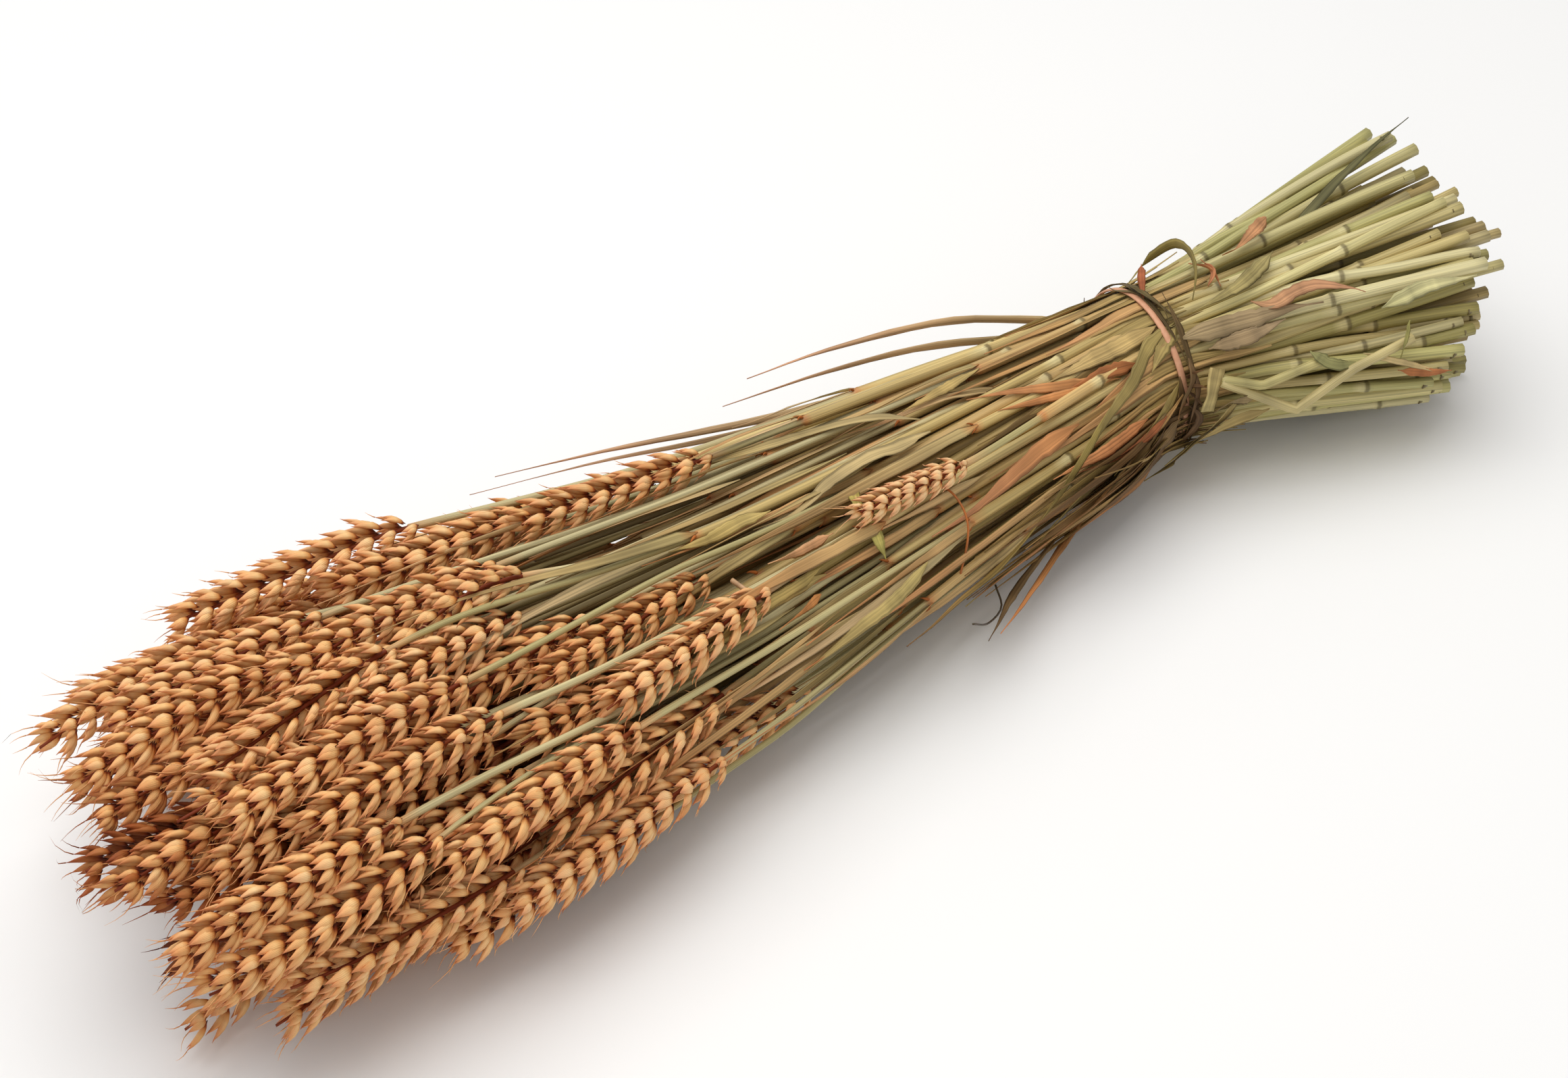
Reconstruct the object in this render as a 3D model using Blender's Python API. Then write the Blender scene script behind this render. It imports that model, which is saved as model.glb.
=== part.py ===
"""A tied bunch of dried wheat, lying down: ears to -X, cut ends to +X, the tie at the neck."""

import bpy
import numpy as np

for old in list(bpy.data.objects):
    bpy.data.objects.remove(old, do_unlink=True)

MM = 0.001

# The planes that cut the bunch, from the farthest ear tips to the cut ends, and where the tie sits.
SECTIONS = np.arange(-490.0, 181.0, 10.0)
TIE_X = 5.0
NECK_PLANES = np.nonzero(abs(SECTIONS - TIE_X) < 36)[0]

# An ear of common wheat is about 14.5 mm across and a stem 4.5 mm thick at its foot.
EAR_RADIUS = 7.2
STEM_FOOT_RADIUS = 2.2
STEM_NECK_RADIUS = 1.2
NECK_RADIUS = 30.5

# The ears that show in the picture: how far the tip reaches from the tie, its place round the bunch in
# degrees (0 far side, 90 top, 180 near side), the same two for the base, and the depth (1 = outline).
SHOWN = (
    (400, 46, 297, 45, 1.10),
    (468, 75, 378, 52, 1.00),
    (445, 77, 350, 63, 1.00),
    (345, 50, 255, 50, 1.06),
    (392, 88, 287, 76, 1.05),
    (272, 57, 185, 62, 1.06),
    (432, 105, 340, 97, 1.00),
    (431, 120, 325, 113, 1.00),
    (407, 133, 320, 127, 1.00),
    (418, 146, 323, 133, 0.85),
    (368, 156, 275, 150, 1.05),
    (412, 154, 318, 152, 0.85),
    (432, 175, 332, 180, 1.00),
    (437, 200, 340, 205, 0.95),
    (347, 190, 245, 187, 1.12),
    (290, 198, 195, 196, 1.02),
    (330, 165, 232, 160, 0.90),
    (360, 165, 265, 162, 0.88),
    (372, 200, 275, 195, 1.05),
    (385, 102, 290, 94, 0.88),
    (365, 113, 268, 108, 0.90),
    (305, 122, 220, 113, 0.95),
    (291, 143, 205, 130, 1.05),
    (322, 141, 230, 138, 0.90),
    (463, 90, 365, 87, 0.85),
    (463, 97, 368, 95, 0.75),
    (474, 108, 380, 104, 0.70),
    (470, 122, 372, 118, 0.70),
    (455, 130, 357, 128, 0.66),
    (466, 144, 370, 140, 0.92),
    (458, 156, 360, 152, 0.90),
    (438, 129, 345, 125, 0.84),
    (435, 150, 340, 147, 0.78),
    (412, 163, 318, 160, 0.82),
    (430, 84, 335, 82, 0.72),
    (420, 92, 325, 90, 0.70),
    (425, 97, 330, 95, 0.76),
    (330, 35, 240, 38, 1.04),
    (162, 121, 107, 127, 1.17),
)
UNDER_REACHES = (415, 370, 318, 428, 275, 395, 345, 430, 300, 368, 410)
UNDER_EARS = 17
INNER_STEMS = 24


def outline(x):
    """Half width, half height, middle y and middle z of the bunch at x: a lying hourglass."""
    x = np.asarray(x, float)
    ahead = np.clip(-x, 0, None)
    behind = np.clip(x, 0, None)
    half_y = 33 + 0.125 * ahead + 0.26 * behind
    half_z = 30 + 0.035 * ahead + 0.14 * behind
    mid_y = 10 - 0.11 * ahead - 0.06 * behind
    mid_z = np.where(x > 0, 43 + 0.02 * behind, np.maximum(half_z + 1.5, 43 - 0.02 * ahead))
    return half_y, half_z, mid_y, mid_z


def stalk_table():
    """One row a stalk: tip reach, tip clock, base reach, base clock, depth, 1 if it carries an ear here."""
    rng = np.random.default_rng(7)
    rows = [row + (1,) for row in SHOWN]
    for i in range(UNDER_EARS):
        clock = 230 + (i + 0.5) * (380 - 230) / UNDER_EARS
        reach = UNDER_REACHES[i % len(UNDER_REACHES)] + rng.uniform(-8, 8)
        rows.append((reach, clock, reach - 92 + rng.uniform(-5, 5), clock, 1.0, 1))
    for i in range(INNER_STEMS):
        depth = 0.15 + 0.5 * ((i + 0.5) / INNER_STEMS) ** 0.5
        end = rng.uniform(230, 330)
        rows.append((end, i * 137.5 + 200, end, i * 137.5 + 200, depth, 0))
    return np.array(rows, float)


def stalk_radii(rows, feet):
    """Radius of each stalk at each plane, and where it exists and where it is ear."""
    tip = -rows[:, 0][:, None]
    base = -rows[:, 2][:, None]
    foot = feet[:, None]
    x = SECTIONS[None, :]
    along = np.clip((x - base) / (foot - base), 0, 1)
    stem = STEM_NECK_RADIUS + (STEM_FOOT_RADIUS - STEM_NECK_RADIUS) * along**0.55
    u = np.clip((base - x) / np.maximum(base - tip, 1), 0, 1)
    taper = np.minimum(np.clip(0.5 + 4.0 * u, 0, 1), np.clip(0.40 + 2.6 * (1 - u), 0, 1))
    ear = EAR_RADIUS * taper * np.clip((base - tip) / 75, 0.62, 1)
    is_ear = (x <= base + 4) & (x >= tip - 5) & (rows[:, 5] > 0)[:, None]
    exists = (x >= tip - 5) & (x <= foot + 5)
    return np.where(is_ear, ear, stem), exists, is_ear


def stalk_aims(rows):
    """Centre of each stalk at each plane before the stalks push one another apart."""
    rng = np.random.default_rng(11)
    count = len(rows)
    half_y, half_z, mid_y, mid_z = outline(SECTIONS)
    tip_clock = np.radians(rows[:, 1])
    base_clock = np.radians(rows[:, 3])
    depth = rows[:, 4]
    neck_clock = base_clock + rng.normal(0, 0.12, count)
    neck_depth = np.minimum(depth, 1.0) * 0.92
    twist = rng.normal(0.05, 0.14, count)
    flare = rng.normal(0.0, 0.08, count)
    centres = np.zeros((count, len(SECTIONS), 2))
    for i in range(count):
        tip = -rows[i, 0]
        base = -rows[i, 2]
        s = np.clip(SECTIONS / base, 0, 1)
        s = 0.5 * s + 0.5 * s * s * (3 - 2 * s)
        u = np.clip((base - SECTIONS) / max(base - tip, 1), 0, 1.1)
        on_ear = base_clock[i] + (tip_clock[i] - base_clock[i]) * u
        on_stem = neck_clock[i] + (base_clock[i] - neck_clock[i]) * s
        behind = np.clip(SECTIONS, 0, None) / 140
        clock = np.where(SECTIONS < base, on_ear, on_stem) + twist[i] * behind
        out = (neck_depth[i] + (depth[i] - neck_depth[i]) * s) * (1 + flare[i] * behind)
        centres[i, :, 0] = mid_y + half_y * out * np.cos(clock)
        centres[i, :, 1] = mid_z + half_z * out * np.sin(clock)
    centres[..., 1] = np.maximum(centres[..., 1], np.where(SECTIONS < -150, 7.3, 2.0))
    return centres


def settle(rows, aims, radius, exists, is_ear, rounds=320):
    """Pushes the stalks apart plane by plane, smooths them along x, and holds them in the neck.

    Ears that show in the picture give way less than the others, so they stay where they are seen.
    """
    count = len(rows)
    centres = aims.copy()
    own = np.arange(count)
    give = np.where(is_ear, np.where(rows[:, 1] < 222, 0.35, 1.0)[:, None], 1.0)
    share = give[:, None] / (give[:, None] + give[None, :])
    both = exists[:, None] & exists[None, :]
    gap = np.where(is_ear[:, None] | is_ear[None, :], 1.0, 0.1)
    need = radius[:, None] + radius[None, :] + gap + 0.9 * np.exp(-(((SECTIONS - TIE_X) / 28) ** 2))
    for step in range(rounds):
        ending = step > rounds - 60
        apart = centres[:, None] - centres[None, :]
        distance = np.sqrt((apart**2).sum(-1)) + 1e-9
        over = np.clip(need - distance, 0, None) * both * share
        over[own, own] = 0
        moved = centres + 0.7 * (apart / distance[..., None] * over[..., None]).sum(1) - aims
        if not ending:
            moved *= 1 - 0.03 * (1.35 - give)[..., None]
        smooth = 0.10 if ending else 0.32
        moved[:, 1:-1] += smooth * (moved[:, :-2] - 2 * moved[:, 1:-1] + moved[:, 2:])
        centres = aims + moved
        centres[..., 1] = np.maximum(centres[..., 1], radius + 0.1)
        for k in NECK_PLANES:
            middle = np.array(outline(SECTIONS[k])[2:])
            limit = NECK_RADIUS + 0.12 * abs(SECTIONS[k] - TIE_X) - radius[:, k]
            arm = centres[:, k] - middle
            length = np.sqrt((arm**2).sum(-1))
            arm *= np.where(length > limit, limit / np.maximum(length, 1e-6), 1)[:, None]
            centres[:, k] = middle + arm
    return centres


def lay_stalks():
    """The whole layout: table, feet, radii, centres and masks."""
    rows = stalk_table()
    feet = 150 + np.random.default_rng(5).uniform(-16, 10, len(rows))
    feet -= 24 * np.clip((rows[:, 3] % 360 - 130) / 60, 0, 1) * (rows[:, 3] % 360 < 250)
    radius, exists, is_ear = stalk_radii(rows, feet)
    centres = settle(rows, stalk_aims(rows), radius, exists, is_ear)
    return rows, feet, radius, centres


def at(stalk, x, centres):
    """Centre (y, z) of a stalk at any x."""
    y = np.interp(x, SECTIONS, centres[stalk, :, 0])
    z = np.interp(x, SECTIONS, centres[stalk, :, 1])
    return np.stack([y, z], -1)


def material(name, colour, roughness):
    made = bpy.data.materials.new(name)
    made.use_nodes = True
    shader = made.node_tree.nodes["Principled BSDF"]
    shader.inputs["Base Color"].default_value = (*colour, 1.0)
    shader.inputs["Roughness"].default_value = roughness
    return made


def solid(name, rings, look, home):
    """A closed solid from rings of equal length, in millimetres, wound so that its faces point out."""
    rings = np.asarray(rings, float)
    count, sides, _ = rings.shape
    points = rings.reshape(-1, 3).copy()
    points[:, 2] = np.maximum(points[:, 2] - SINK, 0.0)
    j = np.arange(sides)
    k = (j + 1) % sides
    faces = []
    for i in range(count - 1):
        low = i * sides
        for a, b in zip(low + j, low + k):
            faces.append((int(a), int(b), int(b + sides), int(a + sides)))
    faces.append(tuple(int(v) for v in j[::-1]))
    faces.append(tuple(int(v) for v in (count - 1) * sides + j))
    mesh = bpy.data.meshes.new(name)
    mesh.from_pydata([tuple(p * MM) for p in points], [], faces)
    mesh.materials.append(look)
    made = bpy.data.objects.new(name, mesh)
    home.objects.link(made)
    return made


# The bunch rests on its lowest spikelets and stem feet, which the surface flattens a little.
SINK = 0.6

bunch = bpy.data.collections.new("wheat_bunch")
bpy.context.scene.collection.children.link(bunch)
workshop = bpy.data.collections.new("straw_pieces")
bpy.context.scene.collection.children.link(workshop)

gold_husk = material("husk", (0.66, 0.38, 0.15), 0.75)
dry_straw = material("straw", (0.42, 0.38, 0.16), 0.7)
pink_band = material("band", (0.70, 0.36, 0.22), 0.6)

rows, feet, radius, centres = lay_stalks()
ear_stalks = [i for i in range(len(rows)) if rows[i, 5] > 0]


# Wheat ears. Each is one closed surface: spikelets stand in two alternate rows, so the rings swell on one
# side and shrink on the other in turn, and each swelling leans towards the tip like a real spikelet.

SPIKELET_PITCH = 14.0
CORNERS = np.radians([0, 50, 130, 180, 230, 310])
SIDE = np.array([1, 1, -1, -1, -1, 1])
POINT = np.array([1.0, 0.9, 0.9, 1.0, 0.9, 0.9])


def ear_rings(stalk):
    """Rings of one ear from base to tip.

    In ring j the half where (-1)^j * side > 0 is a spikelet's tip, with radius R e(u), and the other half is
    the foot of the next one, with radius 0.57 R e(u). Tips are moved on by 0.35 ring and feet back.
    """
    tip = -rows[stalk, 0]
    base = -rows[stalk, 2]
    length = base - tip
    full = EAR_RADIUS * np.clip(length / 75, 0.62, 1)
    count = max(7, int(round(2 * (length - 12) / SPIKELET_PITCH)) + 1)
    under = rows[stalk, 1] >= 222
    roll = -np.pi / 2 if under else np.random.default_rng(100 + stalk).uniform(0, np.pi)
    rings = []
    rings.append((base, np.full(6, 1.9), np.zeros(6)))
    for j in range(count):
        u = (j + 0.6) / (count + 0.4)
        swell = min(1.0, 0.62 + 3.2 * u, 0.42 + 2.3 * (1 - u))
        is_tip = SIDE * (-1) ** j > 0
        out = np.where(is_tip, full * POINT, full * 0.57) * swell
        lean = np.where(is_tip, -0.35, 0.35) * length / (count + 0.4)
        rings.append((base - u * length, out, lean))
    rings.append((tip, np.full(6, 0.9), np.zeros(6)))
    made = []
    for x, out, lean in rings:
        xs = np.clip(x + lean, tip, base)
        centre = at(stalk, xs, centres)
        angle = CORNERS + roll
        ring = np.stack([xs, centre[:, 0] - out * np.cos(angle), centre[:, 1] + out * np.sin(angle)], -1)
        made.append(ring)
    return made


# Straw. The stems are five sided tubes that thin out towards the ears, every one sunk into the packed
# middle of the neck, where the tie presses them together. Dry leaf blades are sunk in with their roots.

FIVE = np.radians([-126, -54, 18, 90, 162])


def kept_planes(stalk, start, end, most):
    """x values that follow the stalk's path to within `most` mm, found by splitting at the worst point."""
    xs = SECTIONS[(SECTIONS < start) & (SECTIONS > end)]
    xs = np.concatenate([[start], xs[::-1], [end]])
    path = at(stalk, xs, centres)
    kept = {0, len(xs) - 1}
    while True:
        marks = sorted(kept)
        worst = 0.0
        for a, b in zip(marks[:-1], marks[1:]):
            if b - a < 2:
                continue
            t = ((xs[a:b + 1] - xs[a]) / (xs[b] - xs[a]))[:, None]
            off = np.sqrt(((path[a:b + 1] - (path[a] + (path[b] - path[a]) * t)) ** 2).sum(-1))
            if off.max() > worst:
                worst = off.max()
                where = a + int(off.argmax())
        if worst < most:
            return xs[sorted(kept)]
        kept.add(where)


def stem_rings(stalk):
    start = feet[stalk]
    end = -rows[stalk, 2] + 0.4
    near_ears = rows[stalk, 5] > 0
    xs = kept_planes(stalk, start, end, 0.9 if near_ears else 2.4)
    middle = at(stalk, xs, centres)
    out = np.interp(xs, SECTIONS, radius[stalk])
    along = np.clip((xs - end) / (start - end), 0, 1)
    out = np.minimum(out, STEM_NECK_RADIUS + (STEM_FOOT_RADIUS - STEM_NECK_RADIUS) * along**0.55)
    rings = []
    for x, centre, r in zip(xs, middle, out):
        y = centre[0] - r * np.cos(FIVE)
        z = centre[1] + r * np.sin(FIVE)
        rings.append(np.stack([np.full(5, x), y, z], -1))
    return rings


def core_rings():
    """The packed middle of the neck: a lens 55 mm across, just inside the outer stems."""
    rings = []
    turn = np.linspace(0, 2 * np.pi, 24, endpoint=False)
    for x, r in ((30, 12.0), (17, 22.0), (0, 27.6), (-17, 22.0), (-30, 12.0)):
        _, _, mid_y, mid_z = outline(TIE_X + x)
        xs = np.full(24, TIE_X + x)
        rings.append(np.stack([xs, mid_y - r * np.cos(turn), mid_z + r * np.sin(turn)], -1))
    return rings


# Blades as root, bend and tip, in millimetres, and width. The first four hang on the near side, the next
# two stand off the far edge, then come those behind the tie and those on the far side and underneath.
BLADES = (
    ((4, -8, 30), (-45, -42, 22), (-141, -49, 11), 8.0),
    ((2, -6, 32), (-55, -48, 28), (-107, -64, 15), 6.0),
    ((2, -2, 28), (-55, -44, 16), (-113, -61, 9), 5.0),
    ((2, -6, 54), (-60, -40, 72), (-108, -48, 60), 7.5),
    ((2, 26, 56), (-70, 56, 62), (-140, 68, 60), 5.5),
    ((2, 28, 50), (-80, 58, 54), (-157, 57, 60), 5.0),
    ((8, 2, 62), (36, -8, 84), (78, -30, 80), 9.0),
    ((8, 14, 63), (36, 10, 84), (70, 19, 86), 8.0),
    ((2, 28, 38), (-60, 58, 34), (-125, 66, 12), 8.0),
    ((2, 8, 24), (-60, -4, -9), (-135, -20, 1), 9.0),
    ((8, 20, 26), (40, 34, -9), (100, 40, 1), 9.0),
)


def blade_rings(root, bend, tip, width):
    """A flat blade 0.8 mm thick along the curve (1-t)^2 root + 2t(1-t) bend + t^2 tip, pointed at the tip."""
    root, bend, tip = np.array([root, bend, tip], float)
    rings = []
    for t in (0.0, 0.25, 0.5, 0.75, 1.0):
        middle = (1 - t) ** 2 * root + 2 * t * (1 - t) * bend + t * t * tip
        ahead = (1 - t) * (bend - root) + t * (tip - bend)
        ahead /= np.linalg.norm(ahead)
        _, _, mid_y, mid_z = outline(middle[0])
        outward = middle - np.array([middle[0], mid_y, mid_z])
        if middle[2] < 4:
            middle[2] = max(middle[2], 1.0)
            ahead[2] = 0.0
            ahead /= np.linalg.norm(ahead)
            outward = np.array([0.0, 0.0, -1.0])
        across = np.cross(ahead, outward)
        across /= np.linalg.norm(across)
        thick = np.cross(across, ahead)
        half = width / 2 * (1.0 if t < 0.6 else 0.75 if t < 0.9 else 0.15)
        corners = ((1, 1), (1, -1), (-1, -1), (-1, 1))
        ring = [middle + across * half * a + thick * 0.4 * b for a, b in corners]
        rings.append(np.array(ring))
    return rings


for stalk in ear_stalks:
    solid("ear_%02d" % (stalk + 1), ear_rings(stalk), gold_husk, bunch)

straw = solid("straw", core_rings(), dry_straw, bunch)
for stalk in range(len(rows)):
    solid("stem_%02d" % (stalk + 1), stem_rings(stalk), dry_straw, workshop)
for number, blade in enumerate(BLADES):
    solid("blade_%02d" % (number + 1), blade_rings(*blade), dry_straw, workshop)


def fuse(target, pieces):
    """Joins every object of a collection to the target and removes them."""
    join = target.modifiers.new("join", "BOOLEAN")
    join.operation = "UNION"
    join.operand_type = "COLLECTION"
    join.collection = pieces
    join.solver = "MANIFOLD"
    bpy.context.view_layer.objects.active = target
    bpy.ops.object.modifier_apply(modifier="join")
    for piece in list(pieces.objects):
        bpy.data.objects.remove(piece, do_unlink=True)


fuse(straw, workshop)


# Tie. One thin round band, wound once round the neck, pressing the outer stems.

BAND_RADIUS = 1.25


def tie_rings():
    turn = np.linspace(0, 2 * np.pi, 32, endpoint=False)
    small = np.radians([0, 72, 144, 216, 288])
    _, _, mid_y, mid_z = outline(TIE_X)
    middle = NECK_RADIUS + 1.4 + BAND_RADIUS
    rings = []
    for t in turn:
        out = middle + BAND_RADIUS * np.cos(small)
        x = TIE_X + BAND_RADIUS * np.sin(small)
        rings.append(np.stack([x, mid_y + out * np.cos(t), mid_z + out * np.sin(t)], -1))
    return np.array(rings)


def closed_band(name, rings, look, home):
    """A closed ring of rings."""
    count, sides, _ = rings.shape
    points = rings.reshape(-1, 3).copy()
    points[:, 2] -= SINK
    faces = []
    for i in range(count):
        for j in range(sides):
            a = i * sides + j
            b = i * sides + (j + 1) % sides
            c = ((i + 1) % count) * sides + (j + 1) % sides
            d = ((i + 1) % count) * sides + j
            faces.append((a, d, c, b))
    mesh = bpy.data.meshes.new(name)
    mesh.from_pydata([tuple(p * MM) for p in points], [], faces)
    mesh.materials.append(look)
    made = bpy.data.objects.new(name, mesh)
    home.objects.link(made)
    return made


closed_band("tie", tie_rings(), pink_band, bunch)
bpy.data.collections.remove(workshop)


# Place. The origin goes to the middle of the bunch's footprint, at the height of the surface.

low = np.full(3, np.inf)
high = np.full(3, -np.inf)
for piece in bunch.objects:
    corners = np.array([v.co for v in piece.data.vertices])
    low = np.minimum(low, corners.min(0))
    high = np.maximum(high, corners.max(0))
to_origin = -np.array([(low[0] + high[0]) / 2, (low[1] + high[1]) / 2, low[2]])
for piece in bunch.objects:
    for vertex in piece.data.vertices:
        vertex.co = np.array(vertex.co) + to_origin
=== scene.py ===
import bpy
import numpy as np
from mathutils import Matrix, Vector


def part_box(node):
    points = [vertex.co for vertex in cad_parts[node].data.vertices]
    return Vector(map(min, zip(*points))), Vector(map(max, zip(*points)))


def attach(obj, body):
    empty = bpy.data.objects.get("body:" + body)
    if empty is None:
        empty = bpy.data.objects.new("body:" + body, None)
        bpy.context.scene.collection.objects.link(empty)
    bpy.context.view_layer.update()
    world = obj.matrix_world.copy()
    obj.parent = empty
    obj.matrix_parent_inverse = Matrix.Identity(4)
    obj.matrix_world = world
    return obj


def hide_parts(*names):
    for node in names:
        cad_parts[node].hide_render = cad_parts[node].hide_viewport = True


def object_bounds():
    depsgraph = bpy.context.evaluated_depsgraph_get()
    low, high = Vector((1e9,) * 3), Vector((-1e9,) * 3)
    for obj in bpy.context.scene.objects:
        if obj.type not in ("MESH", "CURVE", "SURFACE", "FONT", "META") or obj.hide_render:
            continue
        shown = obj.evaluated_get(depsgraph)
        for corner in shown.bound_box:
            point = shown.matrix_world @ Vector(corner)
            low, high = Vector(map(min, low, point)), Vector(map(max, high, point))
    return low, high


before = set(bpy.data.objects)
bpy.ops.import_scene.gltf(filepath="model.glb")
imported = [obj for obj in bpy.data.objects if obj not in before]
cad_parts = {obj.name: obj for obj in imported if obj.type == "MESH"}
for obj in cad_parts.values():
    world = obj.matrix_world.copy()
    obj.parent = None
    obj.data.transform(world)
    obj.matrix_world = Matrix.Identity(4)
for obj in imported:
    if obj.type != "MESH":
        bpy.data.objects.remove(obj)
CAD_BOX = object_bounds()


# Camera. It looks down on the lying bunch from the side of the ears, 40 degrees above the table, and the
# whole bunch fits the frame from the tips at the left to the cut ends at the right.

MM = 0.001
TIE_X = 5.0


def outline(x):
    """Half width, half height, middle y and middle z of the bunch at x (mm from the tie): a lying hourglass.

    Widths grow linearly away from the neck both ways, the middle drifts to the near side, and the lower
    edge never goes under the table.
    """
    x = np.asarray(x, float)
    ahead = np.clip(-x, 0, None)
    behind = np.clip(x, 0, None)
    half_y = 33 + 0.125 * ahead + 0.26 * behind
    half_z = 30 + 0.035 * ahead + 0.14 * behind
    mid_y = 10 - 0.11 * ahead - 0.06 * behind
    mid_z = np.where(x > 0, 43 + 0.02 * behind, np.maximum(half_z + 1.5, 43 - 0.02 * ahead))
    return half_y, half_z, mid_y, mid_z


def inward(points):
    """How deep points lie in the bunch: 0 outside or near the outline, growing to 1 at half its depth. It is the mask
    of the painted shade on husks, stems and blades.
    """
    half_y, half_z, mid_y, mid_z = outline(points[..., 0])
    place = np.hypot((points[..., 1] - mid_y) / half_y, (points[..., 2] - mid_z) / half_z)
    return np.clip((0.90 - place) / 0.4, 0, 1)


SINK = 0.6
tie_low, tie_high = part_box("tie")
tie_middle = (np.array(tie_low) + np.array(tie_high)) / 2
_, _, tie_y, tie_z = outline(TIE_X)
TO_FRAME = tie_middle - np.array([TIE_X, float(tie_y), float(tie_z) - SINK]) * MM


def placed(points):
    """Points in mm of the bunch's own layout, moved to the frame in metres, on the table or above it."""
    points = np.array(points, float)
    points[..., 2] -= SINK
    moved = points * MM + TO_FRAME
    low, high = np.array(CAD_BOX[0]), np.array(CAD_BOX[1])
    return np.clip(moved, low + 0.0001, high - 0.0001)


VIEW_AZIMUTH = np.radians(-32.0)
VIEW_RISE = np.radians(40.0)
VIEW_DISTANCE = 1300.0
LOOKED_AT = np.array([-165.0, 0.0, 38.0])
BACK = np.array([
    np.sin(VIEW_AZIMUTH) * np.cos(VIEW_RISE),
    -np.cos(VIEW_AZIMUTH) * np.cos(VIEW_RISE),
    np.sin(VIEW_RISE),
])
RIGHT = np.array([np.cos(VIEW_AZIMUTH), np.sin(VIEW_AZIMUTH), 0.0])
UP = np.cross(BACK, RIGHT)

lens = bpy.data.cameras.new("camera")
lens.sensor_width = 36.0
lens.lens = 36.0 * 5135.0 / 2322.0
lens.clip_start = 0.05
camera = bpy.data.objects.new("camera", lens)
bpy.context.scene.collection.objects.link(camera)
eye = (LOOKED_AT + VIEW_DISTANCE * BACK - np.array([0, 0, SINK])) * MM + TO_FRAME
turned = np.eye(4)
turned[:3, 0], turned[:3, 1], turned[:3, 2], turned[:3, 3] = RIGHT, UP, BACK, eye
camera.matrix_world = turned.T.tolist()
bpy.context.scene.camera = camera
bpy.context.scene.view_settings.view_transform = "Standard"


# Table and light. A plain white studio surface that runs far past the bunch, one large soft lamp high on
# the far left, a weaker one over the camera, and a pale room all round, so that shadows stay faint.

def linear(colour):
    """sRGB hex, such as 'D9A468', to linear red, green, blue and alpha."""
    parts = np.array([int(colour[i:i + 2], 16) for i in (0, 2, 4)]) / 255
    return (*np.where(parts <= 0.04045, parts / 12.92, ((parts + 0.055) / 1.055) ** 2.4), 1.0)


def add_node(tree, kind, links=(), **settings):
    """Adds a node, sets its properties and socket values, and links (from socket, to socket name) pairs."""
    node = tree.nodes.new(kind)
    for name, value in settings.items():
        if hasattr(node, name):
            setattr(node, name, value)
        else:
            node.inputs[name.replace("_", " ")].default_value = value
    for source, target in links:
        tree.links.new(source, node.inputs[target])
    return node


def new_material(name):
    """A material with its node tree and its Principled shader."""
    made = bpy.data.materials.new(name)
    made.use_nodes = True
    return made, made.node_tree, made.node_tree.nodes["Principled BSDF"]


matt_laminate, tree, shader = new_material("matt_laminate")
shader.inputs["Base Color"].default_value = linear("F4F3F1")
shader.inputs["Roughness"].default_value = 0.6
reach = np.array([[-3, -3], [3, -3], [3, 3], [-3, 3]], float)
table_mesh = bpy.data.meshes.new("table")
table_mesh.from_pydata([(x, y, 0.0) for x, y in reach], [], [(0, 1, 2, 3)])
table_mesh.materials.append(matt_laminate)
table = bpy.data.objects.new("table", table_mesh)
bpy.context.scene.collection.objects.link(table)

room = bpy.data.worlds.new("pale_room")
room.use_nodes = True
room.node_tree.nodes["Background"].inputs["Color"].default_value = linear("FFFFFF")
room.node_tree.nodes["Background"].inputs["Strength"].default_value = 0.46
bpy.context.scene.world = room


def soft_lamp(name, place, aim, width, power):
    """A square area lamp at `place`, turned so that its -Z points at `aim`, both in metres."""
    light = bpy.data.lights.new(name, "AREA")
    light.size = width
    light.energy = power
    lamp = bpy.data.objects.new(name, light)
    bpy.context.scene.collection.objects.link(lamp)
    away = np.array(place, float) - np.array(aim, float)
    away /= np.linalg.norm(away)
    side = np.cross([0, 0, 1.0], away)
    side /= np.linalg.norm(side)
    turn = np.eye(4)
    turn[:3, 0], turn[:3, 1], turn[:3, 2], turn[:3, 3] = side, np.cross(away, side), away, place
    lamp.matrix_world = turn.T.tolist()


soft_lamp("high_lamp", (-0.14, 0.30, 1.5), (0, 0, 0), 1.9, 23.0)
soft_lamp("front_lamp", (-0.7, -1.2, 1.1), (0, 0, 0.03), 1.2, 3.0)


# Lie of the stalks. About eighty stalks were gathered by hand and tied, so each runs from its cut foot
# through the neck to its ear, pressed against its neighbours, and the low ones rest on the table.

SECTIONS = np.arange(-490.0, 181.0, 10.0)
NECK_PLANES = np.nonzero(abs(SECTIONS - TIE_X) < 36)[0]
EAR_RADIUS = 7.2
STEM_FOOT_RADIUS = 2.2
STEM_NECK_RADIUS = 1.2
NECK_RADIUS = 30.5

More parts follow.
